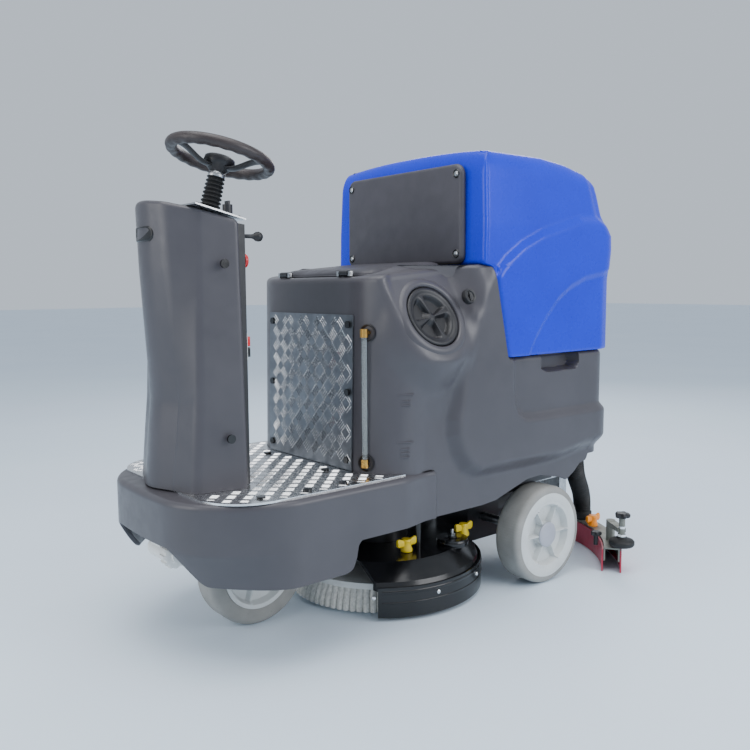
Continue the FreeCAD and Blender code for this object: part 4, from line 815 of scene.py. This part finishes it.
# %% [markdown]
# ## Steering cowl
# The cowl is another loft: each height has its own plan, waisted like an hourglass at knee
# height, and the top is cut on a slope that falls towards the driver.

# %% The cowl's skin
cowl_low, cowl_high = box("front_cowl")
COWL_X, COWL_TOP = cowl_low[0], cowl_high[2]


def cowl_plan(z):
    """The plan at a height: a flat back, sides that close in to a crease, and a bowed nose."""
    nose = along_line([(DECK, NOSE - 18), (450, NOSE - 28), (530, NOSE - 36), (600, NOSE - 34),
                       (700, NOSE - 28), (800, NOSE - 22), (COWL_TOP, NOSE - 18)], z)
    crease = along_line([(DECK, 618), (450, 611), (535, 604), (675, 596), (809, 588), (COWL_TOP, 585)], z)
    half = 150 + (133 - 150) * (z - DECK) / (COWL_TOP - DECK)
    bow = half - 26
    return loop([(COWL_X, -half), (crease, -bow - 4), (nose - 26, -66), (nose, 0), (nose - 26, 66),
                 (crease, bow + 4), (COWL_X, half)], [7, 26, 60, 90, 60, 26, 7],
                [(24, 5), (18, 8), (8, 10), (6, 10), (8, 10), (8, 8), (18, 5)])


def cowl_skin():
    """The loft from the foot plate up to the sloping top, with a rounded top edge."""
    levels = np.linspace(DECK + 0.3, COWL_TOP - 2, 70)
    rows = []
    for z in levels:
        plan, normal = cowl_plan(z)
        rows.append(np.column_stack([plan, np.full(len(plan), z)]))
    wall = np.stack(rows, 1)
    slope = 41.0 / 157
    ceiling = COWL_TOP - 41 + (wall[..., 0] - COWL_X) * slope
    share = (levels - levels[0]) / (levels[-1] - levels[0])
    wall[..., 2] = levels[0] + share * (ceiling - 9 - levels[0])
    plan, normal = cowl_plan(COWL_TOP)
    quarter = np.linspace(0.15, 1, 6) * np.pi / 2
    crest = wall[:, -1:, :2] - normal[:, None] * (9 * (1 - np.cos(quarter)))[:, None]
    crest = np.dstack([crest, wall[:, -1:, 2] + 9 * np.sin(quarter)])
    inner = wall[:, -1, :2] - normal * 24
    shelf = np.dstack([inner[:, None], (COWL_TOP - 41 + (inner[:, 0] - COWL_X) * slope)[:, None]])
    return skin(np.concatenate([wall, crest, shelf], 1))


make("cowl_skin", [cowl_skin()], grey_polyethylene, "chassis", ["front_cowl"], sharp=60)
lamp_low, lamp_high = box("cowl_lamp")
lamp_z = (lamp_low[2] + lamp_high[2]) / 2
lamp_skin, lamp_faces = slab([(-40, -15), (40, -15), (40, 15), (-40, 15)], [14.9] * 4, [(9, 12)] * 4, FACING,
                             (NOSE - 30, 0, lamp_z), 6, 2.5)
lamp_side = np.abs(lamp_skin[:, 1])
lamp_skin[:, 0] -= 90 - np.sqrt(90 ** 2 - np.minimum(lamp_side, 33) ** 2)
lamp_skin[:, 0] -= 0.394 * np.clip(lamp_side - 33, 0, None)
make("cowl_badge_lamp", [(lamp_skin, lamp_faces)], gloss_abs, "chassis", ["cowl_lamp"])

# %% [markdown]
# ## Steering wheel and boot
# The grip is a ring whose tube has shallow finger dips underneath. Three flat spokes sag from
# the ring to a cupped hub, and a ribbed rubber boot covers the shaft.

# %% Wheel, boot and collar
steer = next(j for j in frame["joints"] if j["name"] == "steering_turn")
HUB, STEER = np.array(steer["pos_m"]) / MM, np.array(steer["axis"])
steer_right, steer_front, _ = axes(STEER)


def wheel_point(across_by, forward_by, rise):
    """A place from distances across, along and above the wheel's plane."""
    return (HUB + np.asarray(across_by)[..., None] * steer_right
            + np.asarray(forward_by)[..., None] * steer_front + np.asarray(rise)[..., None] * STEER)


def grip_ring():
    """A torus of 105 mm whose tube is 12.5 mm thick, with 24 dips under it."""
    around = np.linspace(0, 2 * np.pi, 192, endpoint=False)[:, None]
    tube_angle = np.linspace(0, 2 * np.pi, 24, endpoint=False)[None]
    dips = 1.3 * np.clip(-np.sin(tube_angle), 0, 1) * (0.5 + 0.5 * np.cos(24 * around))
    tube_radius = 12.6 - dips
    reach_out = 104 + tube_radius * np.cos(tube_angle)
    points = wheel_point(reach_out * np.cos(around), reach_out * np.sin(around),
                         tube_radius * np.sin(tube_angle) + 0 * around)
    return points.reshape(-1, 3), [quads(192, 24, True, True)]


def spoke(angle):
    """A spoke: a flat oval carried from the hub to the ring along a sagging line."""
    share = np.linspace(0, 1, 16)[None]
    ring = np.linspace(0, 2 * np.pi, 20, endpoint=False)[:, None]
    reach_out = 16 + share * 82
    sag = -24 + 20 * step(0.15, 0.95, share)
    width = 15 - 3 * np.sin(np.pi * share)
    side = width * np.cos(ring)
    rise = sag + 4.2 * np.sin(ring) * (1 - 0.2 * np.abs(np.cos(ring)))
    return skin(wheel_point(reach_out * np.cos(angle) - side * np.sin(angle),
                            reach_out * np.sin(angle) + side * np.cos(angle), rise))


hub_profile = [(0, -34), (17, -34), (20, -30), (30, -20), (33, -12), (32, -4), (28, -1), (25, -2),
               (24, -8), (0, -8)]
hub_cap = [(0, -9), (23.5, -9), (23.5, -4), (20, -0.5), (12, 1.5), (0, 2.2)]
make("steering_grip", [grip_ring()], steering_foam, "steering_wheel", ["steering_wheel"])
spokes = [spoke(math.radians(turn)) for turn in (90, 210, 330)]
make("steering_spokes", spokes + [spun(hub_profile, HUB, STEER, 60)], black_abs,
     "steering_wheel")
make("steering_hub_cap", [spun(hub_cap, HUB, STEER, 60)], gloss_abs, "steering_wheel")


def boot_profile():
    """A concertina: the radius rises and falls nine times on the way up."""
    way = np.linspace(0, 1, 120)
    radius = 20.5 - 3.5 * way + 2.4 * np.cos(2 * np.pi * 9 * way)
    height = -124 + 78 * way
    return [(12, -124)] + list(zip(radius, height)) + [(12, -46)]


make("ribbed_boot", [spun(boot_profile(), HUB, STEER, 48)], black_rubber, "chassis",
     ["steering_boot"])
collar_profile = [(11, -48), (17, -48), (18, -46), (18, -36), (17, -34.6), (11, -34.6)]
make("shaft_collar", [spun(collar_profile, HUB, STEER, 48)], zinc_steel, "steering_wheel")
console_low, console_high = box("console_plate")


def console_spots():
    """Small pan-head screws along the metal strip's edges."""
    spots = []
    slope = 46.0 / 197
    for side in (1, -1):
        for x in (COWL_X - 8, COWL_X + 42, COWL_X + 84):
            place = (x, side * (console_high[1] - 9), console_low[2] + 3.4 + (x - COWL_X + 18) * slope)
            spots.append(cup_screw(place, (-slope, 0, 1), 4.6))
    return spots


small = console_spots()
make("console_screws", [part for pair in small for part in pair], black_abs, "chassis")

# %% [markdown]
# ## Wheels
# Each wheel is a turned tyre on a dished nylon centre. The dish is a grid of angle and radius:
# a smooth bowl from the rim to the hub, with thin ribs raised where the angle passes a spoke.

# %% Tyres and wheel centres
def tyre_skin(centre, half_width, radius, inner):
    """A tyre: crowned tread with fine cross scratches, round shoulders and a flat side."""
    half_profile = [(radius, half_width - 14), (radius - 1.4, half_width - 7),
                    (radius - 5, half_width - 2.5), (radius - 12, half_width), (inner + 6, half_width),
                    (inner, half_width - 3)]
    profile = [(reach, -height) for reach, height in half_profile[::-1]] + half_profile

    def tread(angle, reach, _):
        """Fine cross scratches on the crown only."""
        return -0.5 * (reach > radius - 0.5) * (np.cos(120 * angle) > 0.6)
    return hoop(profile, centre, (0, 1, 0), 360, tread)


def dish(centre, face, outer, spokes, depth, side, rib=4.2):
    """One face of a wheel centre: a bowl with ribs. side is +1 or -1 for the way that it looks."""
    angle = np.linspace(0, 2 * np.pi, 300, endpoint=False)[:, None]
    radius = np.concatenate([np.linspace(outer, outer - 9, 5), np.linspace(outer - 10, 25, 30),
                             [23, 22, 12, 0]])[None]

    fall = step(outer - 16, outer - 8, radius)
    cone = -depth * (1 - fall) * (0.80 + 0.20 * np.clip((outer - 16 - radius) / (outer - 46), 0, 1))
    boss = (depth - 3) * (1 - step(24, 31, radius))
    arc = np.abs((angle * spokes / (2 * np.pi) + 0.5) % 1 - 0.5) * 2 * np.pi / spokes * radius
    ribs = (depth - 5) * (1 - step(1.2, rib, arc)) * step(27, 33, radius)
    ribs = ribs * (1 - step(outer - 12, outer - 8, radius))
    taper = 1 - 0.45 * np.clip((radius - 30) / (outer - 40), 0, 1)
    height = face + cone + boss + ribs * taper
    back = np.full((300, 1), face - depth - 9.0)
    radius_all = np.concatenate([np.full((300, 1), outer * 1.0), radius + 0 * angle, np.zeros((300, 1))], 1)
    height_all = np.concatenate([back, height + 0 * angle, back], 1)
    grid = np.stack([centre[0] + radius_all * np.cos(angle), centre[1] + side * height_all,
                     centre[2] + radius_all * np.sin(angle)], -1)
    return skin(grid)


TYRE, WHEEL_RIM = 125, 88
flange = [(86, -6), (86, 0.6), (88, 1.4), (106, 1.4), (109, 0.4), (110, -1.6), (108, -6)]
cap_profile = [(0, -2), (31.5, -2), (32, 1), (30, 3.0), (22, 4.2), (0, 4.6)]
for label, side in (("left", 1), ("right", -1)):
    low, high = box(f"rear_tyre_{label}")
    middle = (low + high) / 2
    width = (high[1] - low[1]) / 2
    wheel, outward = f"rear_wheel_{label}", np.array([0, side, 0])
    make(f"rear_tyre_{label}_tread", [tyre_skin(middle, width, TYRE, WHEEL_RIM)], pale_rubber, wheel,
         [f"rear_tyre_{label}"])
    make(f"rear_wheel_centre_{label}", [dish(middle, width - 0.5, WHEEL_RIM, 6, 24, side),
                                        dish(middle, width - 2, WHEEL_RIM, 6, 22, -side)],
         pale_nylon, wheel, [f"rear_rim_{label}"])
    make(f"wheel_flange_{label}", [hoop(flange, middle + outward * (width - 1), outward, 96)],
         pale_nylon, wheel)
    make(f"hub_cap_{label}", [spun(cap_profile, middle + outward * (width - 5), outward, 48)], grey_nylon,
         wheel)
front_low, front_high = box("front_tyre")
front_middle, front_half = (front_low + front_high) / 2, (front_high[1] - front_low[1]) / 2
make("front_tyre_tread", [tyre_skin(front_middle, front_half, TYRE, WHEEL_RIM)], pale_rubber,
     "front_wheel", ["front_tyre"])
make("front_wheel_centre", [dish(front_middle, front_half - 1, WHEEL_RIM, 5, 22, way, 9) for way in (1, -1)],
     pale_nylon, "front_wheel", ["front_rim"])

# %% [markdown]
# ## Brush and deck
# The brush is a ring of nylon tufts round a plate. Its outside is rippled like a pie's edge: the
# radius swings with 84 tufts and flares towards the floor. The black deck over it is a stepped
# turned cover that shines, with a band of bolts round its skirt.

# %% Bristles
brush_low, brush_high = box("brush_bristles")
brush_x = (brush_low[0] + brush_high[0]) / 2


def tufts(angle, radius, height):
    """84 round tufts: the radius rises on each tuft and drops sharply between two."""
    wave = np.abs(np.cos(42 * angle))
    return (wave ** 0.5 - 1) * 7.5 * step(120, 200, radius) * (0.55 + 0.45 * step(60, 10, height))


bristle_profile = [(98, 7), (130, 6.2), (222, 6.2), (225.5, 7.5), (224, 20), (220, 34), (214, 48),
                   (210, 57.4), (98, 57.4)]
make("bristle_ring", [hoop(bristle_profile, (brush_x, 0, 0), count=1008, ripple=tufts)], bristle_nylon,
     "brush", ["brush_bristles"], sharp=60)

# %% Deck bolts, rim bead and cover plates
skirt_radius = box("splash_skirt")[1][1]


def on_skirt(degrees, radius, height):
    """A place round the brush from an angle off the left, turned towards the rear."""
    angle = math.radians(degrees)
    return np.array([brush_x - radius * math.sin(angle), radius * math.cos(angle), height])


bolts = []
for degrees in (-42, -8, 26, 52, 150, 186, 222):
    out = on_skirt(degrees, 1, 0) - np.array([brush_x, 0, 0])
    bolts.append(spun([(0, -1), (5.5, -1), (5.5, 1), (4.6, 3.4), (2.5, 4.6), (0, 5)],
                      on_skirt(degrees, skirt_radius - 0.5, 58), out, 18))
make("skirt_bolts", bolts, chrome, "brush_deck")


def skirt_band(radius, height, thick, tall, start, end):
    """A bead: an oval section carried round part of the skirt."""
    angle = np.radians(np.linspace(start, end, 160))[None]
    ring = np.linspace(0, 2 * np.pi, 14, endpoint=False)[:, None]
    reach_out = radius + thick * np.cos(ring)
    return skin(np.stack([brush_x - reach_out * np.sin(angle), reach_out * np.cos(angle),
                          height + tall * np.sin(ring) + 0 * angle], -1))


beads = [skirt_band(skirt_radius - 1 + low_one, 69 - 25 * low_one, 2.6 - 1.2 * low_one,
                    4.5 - 2.3 * low_one, start, end)
         for low_one in (0, 1) for start, end in ((-38, 56), (130, 218))]
make("skirt_beads", beads, gloss_abs, "brush_deck")
pivot = (AXLE + 231, 173)
pivot_profile = [(0, 124), (39, 124), (40, 127), (40, 134), (37, 138), (12, 139.5), (11, 143), (0, 143)]
make("deck_pivot", [spun(pivot_profile, (*pivot, 0), count=60)], gloss_abs, "brush_deck")
make("pivot_bolt", [spun([(0, 142), (8, 142), (8, 147), (6, 149), (0, 149.5)], (*pivot, 0), count=6),
                    spun([(0, 149), (3.5, 149), (3.5, 158), (2, 160), (0, 160)], (*pivot, 0), count=16)],
     zinc_steel, "brush_deck")


def wing_knob(place):
    """A knob: a turned boss and two wings whose width swells and whose thickness thins outwards."""
    share = np.linspace(-1, 1, 37)[None]
    ring = np.linspace(0, 2 * np.pi, 20, endpoint=False)[:, None]
    body_width = 5.2 - 1.4 * np.abs(share)
    tall = 5 + 6.5 * np.abs(share) ** 0.8 * (1 - 0.5 * step(0.86, 1.0, np.abs(share)))
    lift = 20 + 3.5 * np.abs(share)
    oval = np.sign(np.cos(ring)) * np.abs(np.cos(ring)) ** 0.6
    rise = np.sign(np.sin(ring)) * np.abs(np.sin(ring)) ** 0.6
    wings = skin(np.stack([place[0] - share * 29 + 0 * ring, place[1] + body_width * oval,
                           place[2] + lift + tall * rise], -1))
    boss_profile = [(0, 0.6), (14, 0.6), (14.5, 6), (12, 12), (11, 24), (12.5, 27), (11, 31), (0, 32)]
    boss = spun(boss_profile, place, count=32)
    return [boss, wings]


for label in ("front", "rear"):
    low, high = box(f"wing_knob_{label}")
    foot = np.array([(low[0] + high[0]) / 2, (low[1] + high[1]) / 2, low[2]])
    make(f"wing_knob_{label}_moulding", wing_knob(foot), yellow_nylon, f"wing_knob_{label}",
         [f"wing_knob_{label}"])

# %% [markdown]
# ## Squeegee and hose
# The curved channel carries two red blades. At each end a bumper roller turns on a spindle with
# a star knob over it. The suction hose is a corrugated tube: a ring carried along a smooth path
# with its radius swinging every seven millimetres.

# %% Hose
hose_low, hose_high = box("suction_hose")


def bezier(points, count):
    """A smooth path through a chain of weights: the Bernstein sum of its points."""
    points = np.array(points, float)
    share = np.linspace(0, 1, count)[:, None]
    degree = len(points) - 1
    return sum(math.comb(degree, i) * share ** i * (1 - share) ** (degree - i) * points[i]
               for i in range(degree + 1))


hose_start = np.array([AXLE - 212, 205, hose_high[2]])
hose_end = np.array([hose_low[0] + 25, hose_low[1] + 25, hose_low[2]])
hose_path = bezier([hose_start, hose_start - (0, 0, 70), hose_start - (4, 2, 120), hose_end + (6, 4, 110),
                    hose_end + (0, 0, 60), hose_end], 420)


def corrugated(path, radius, swing, pitch):
    """A ring carried along a path. Its radius swings once every pitch."""
    travel = np.concatenate([[0], np.cumsum(np.linalg.norm(np.diff(path, axis=0), axis=1))])
    forward_way = np.gradient(path, axis=0)
    forward_way /= np.linalg.norm(forward_way, axis=1)[:, None]
    side = np.cross(forward_way, [0, 1.0, 0])
    side /= np.linalg.norm(side, axis=1)[:, None]
    other = np.cross(forward_way, side)
    size = radius + swing * np.cos(2 * np.pi * travel / pitch)
    ring = np.linspace(0, 2 * np.pi, 40, endpoint=False)[:, None, None]
    return skin(path + size[:, None] * (np.cos(ring) * side + np.sin(ring) * other)), travel[-1]


hose_skin, hose_length = corrugated(hose_path, 23.6, 1.9, 7.5)
hose = make("corrugated_hose", [hose_skin], black_rubber, "", ["suction_hose"], sharp=80)
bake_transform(hose)
print("hose length in mm:", round(hose_length))
cuff_profile = [(20, 0), (27, 0), (28, 2), (28, 20), (26, 22), (20, 22)]
make("hose_cuff", [hoop(cuff_profile, hose_end + (0, 0, -2), count=48)], black_rubber, "squeegee")

# %% Rollers, knobs and the small fittings on the squeegee
def star(place, reach_out, lobes, thick):
    """A star knob: the radius swells on each lobe, the top is domed."""
    def swell(angle, radius, _):
        """The lobes grow from the middle outwards."""
        return reach_out * 0.17 * np.cos(lobes * angle) * step(reach_out * 0.4, reach_out * 0.9, radius)
    top = [(0, 0), (reach_out * 0.7, 0), (reach_out * 0.83, thick * 0.15), (reach_out * 0.86, thick * 0.6),
           (reach_out * 0.7, thick * 0.95), (reach_out * 0.35, thick), (0, thick)]
    return spun(top, place, count=120, ripple=swell)


roller_profile = [(8.1, 0), (24, 0), (30, 2.5), (33, 7), (33, 14), (30, 18), (22, 21), (14, 23), (13, 26),
                  (8.1, 26)]
spindle_top = [(0, -1), (8.4, -1), (8.4, 5), (6, 7), (0, 7.4)]
spindle_nut = [(8.05, 0), (12, 0), (12, 6), (8.05, 6)]
for label, side in (("left", 1), ("right", -1)):
    roller, knob = f"bumper_roller_{label}", f"squeegee_knob_{label}"
    low, high = box(roller)
    foot = np.array([(low[0] + high[0]) / 2, (low[1] + high[1]) / 2, low[2]])
    make(f"{roller}_wheel", [spun(roller_profile, foot, count=72)], black_rubber, roller, [roller])
    foot[2] = box(knob)[0][2]
    make(f"{knob}_star", [star(foot, 20.5, 5, 14)], black_abs, knob, [knob])
    inboard = np.array([foot[0] + 26, foot[1] - side * 62, 66])
    make(f"tilt_knob_{label}", [star(inboard + (0, 0, 26), 15, 5, 11),
                                spun([(0, 0), (6, 0), (6, 27), (0, 27)], inboard, count=20)],
         black_abs, "squeegee")
    make(f"spindle_cap_{label}", [spun(spindle_top, foot + (0, 0, -28), count=24),
                                  spun(spindle_nut, foot + (0, 0, -50), count=6)],
         chrome, "squeegee")
wing_place = np.array([AXLE - 318, 196, 66])
make("orange_wing_nut", wing_knob(wing_place), orange_nylon, "squeegee")
make("wing_nut_right", wing_knob(wing_place * (1, -1, 1)), orange_nylon, "squeegee")

# %% [markdown]
# ## Seat cushion
# The pad is foam under vinyl. Cloth with a little air pressure swells a voxel copy of a slightly
# smaller block, a cap keeps the swell within a few millimetres, and the seam round it is a
# turned cord added after.

# %% The cushion, blown up as cloth
cushion_low, cushion_high = box("seat_cushion")


CUSHION, CUSHION_HALF = (cushion_low + cushion_high) / 2, (cushion_high - cushion_low) / 2
CUSHION_SLOPE = -28.0 / 294


def cushion_plan(margin, radius, counts):
    """The pad's round-cornered plan, set in by a margin."""
    half_x, half_y = CUSHION_HALF[:2] - margin
    corners = [(half_x, -half_y), (half_x, half_y), (-half_x, half_y), (-half_x, -half_y)]
    return loop(corners, [radius] * 4, [counts] * 4)


def cushion_start():
    """A thin block that follows the seat's slope, three millimetres inside the CAD pad."""
    plan, normal = cushion_plan(4, 34, (16, 10))
    inward = np.array([6.0, 0.0, 0.0, 7.0])
    lift = np.array([-14.0, -9.0, 5.0, 11.0])
    flat = plan[:, None] - normal[:, None] * inward[:, None]
    rise = lift + CUSHION_SLOPE * flat[..., 0]
    return skin(np.dstack([flat + CUSHION[:2], rise + CUSHION[2] + 1]))


cushion = make("cushion_skin", [cushion_start()], coated_vinyl, "")
remesh = cushion.modifiers.new("even_mesh", "REMESH")
remesh.mode, remesh.voxel_size = "VOXEL", 0.0055


def keep_shape(piece):
    """Turns a piece's live modifiers into its mesh."""
    graph = bpy.context.evaluated_depsgraph_get()
    fixed = bpy.data.meshes.new_from_object(piece.evaluated_get(graph))
    piece.modifiers.clear()
    piece.data = fixed


keep_shape(cushion)
before = np.array([v.co for v in cushion.data.vertices])
cloth = cushion.modifiers.new("swell", "CLOTH")
cloth.settings.use_pressure = True
cloth.settings.uniform_pressure_force = 4
cloth.settings.effector_weights.gravity = 0
for frame_number in range(1, 21):
    bpy.context.scene.frame_set(frame_number)
keep_shape(cushion)
after = np.array([v.co for v in cushion.data.vertices])
move = after - before
length = np.linalg.norm(move, axis=1)[:, None]
FURTHEST = 5 * MM
move *= np.minimum(1, FURTHEST / np.maximum(length, 1e-9))
cushion.data.vertices.foreach_set("co", (before + move).astype(np.float32).ravel())
bpy.context.scene.frame_set(1)
smooth = cushion.modifiers.new("smooth", "SUBSURF")
smooth.levels = smooth.render_levels = 1
keep_shape(cushion)
cushion.data.shade_smooth()
cushion.data.materials.clear()
cushion.data.materials.append(coated_vinyl)
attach(cushion, "seat")
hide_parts("seat_cushion")
print("cushion moved by up to", round(float(length.max()) / MM, 1), "mm")


def piping():
    """The seam cord: a round section carried round the pad's edge on its slope."""
    plan, normal = cushion_plan(3, 36, (40, 16))
    ring = np.linspace(0, 2 * np.pi, 10, endpoint=False)[None]
    flat = plan[:, None] + normal[:, None] * (1.7 * np.cos(ring))[..., None]
    rise = CUSHION[2] + 3 + 1.7 * np.sin(ring) + CUSHION_SLOPE * flat[..., 0]
    points = np.dstack([flat + CUSHION[:2], rise])
    return points.reshape(-1, 3), [quads(points.shape[0], 10, True, True)]


make("cushion_piping", [piping()], coated_vinyl, "seat")

# %% [markdown]
# ## Small controls
# The lever's bulged knob, the stop button's mushroom head, the charging socket with one red and
# one black pole and the ribbed filter cap are all turned or slab pieces.

# %% Controls
lever_low, lever_high = box("direction_lever")
lever_mid = (lever_low + lever_high) / 2
lever_end = np.array([lever_low[0], lever_mid[1], lever_mid[2]])
lever_profile = [(0, 0), (5, 0.8), (9, 4), (10.5, 9), (9.5, 15), (5.5, 21), (4.4, 26), (4.2, 43),
                 (6.4, 46), (6.8, 50), (5.8, 54), (0, 56.6)]
make("lever_knob", [spun(lever_profile, lever_end, (1, 0, 0), 36)], black_abs, "direction_lever",
     ["direction_lever"])
button_low, button_high = box("emergency_button")
button_mid = (button_low + button_high) / 2
mushroom_profile = [(0, 0), (9, 0.4), (14, 2.4), (15.4, 6), (14.6, 9), (9, 11), (7, 12), (7, 27), (0, 27)]
make("stop_mushroom", [spun(mushroom_profile, (button_low[0], *button_mid[1:]), (1, 0, 0), 40)], red_abs,
     "emergency_button", ["emergency_button"])
socket_low, socket_high = box("charging_connector")
socket_mid = (socket_low + socket_high) / 2
BACKWARD = (np.array([0, -1.0, 0]), np.array([0, 0, 1.0]), np.array([-1.0, 0, 0]))
frame_plan = [(-13, -29), (13, -29), (13, 29), (-13, 29)]
frame_place = (COWL_X - 15.5, *socket_mid[1:])
make("socket_frame", [slab(frame_plan, [3] * 4, [(3, 4)] * 4, BACKWARD, frame_place, 3, 1)], white_abs,
     "chassis")
pole_plan = [(-9, -10), (9, -10), (9, 10), (-9, 10)]
for name, rise, material, slot, replaced in (
        ("socket_red", 11, red_abs, "red_plastic", []),
        ("socket_black", -11, gloss_abs, "black_plastic", ["charging_connector"])):
    make(name, [slab(pole_plan, [2] * 4, [(3, 4)] * 4, BACKWARD,
                     (COWL_X - 18, socket_mid[1], socket_mid[2] + rise), 9, 1.2)],
         material, "chassis", replaced)
cap_low, cap_high = box("filter_cap")
cap_mid = (cap_low + cap_high) / 2


def cap_ribs(angle, radius, height):
    """Twelve square ribs round the cap for a hand to turn it by."""
    outer = radius > 22
    return 3.2 * (np.cos(12 * angle) > 0) * outer * (height > 3) * (height < 27) - 3.2 * outer


filter_profile = [(0, 0.3), (29, 0.3), (29, 3), (29, 4), (29, 23), (28, 27), (24, 29), (14, 30), (13, 36),
                  (0, 36)]
filter_place = (cap_mid[0], cap_low[1] - 0.3, cap_mid[2])
make("filter_cap_ribbed", [spun(filter_profile, filter_place, (0, 1, 0), 192, cap_ribs)], white_abs,
     "filter_cap", ["filter_cap"], sharp=25)
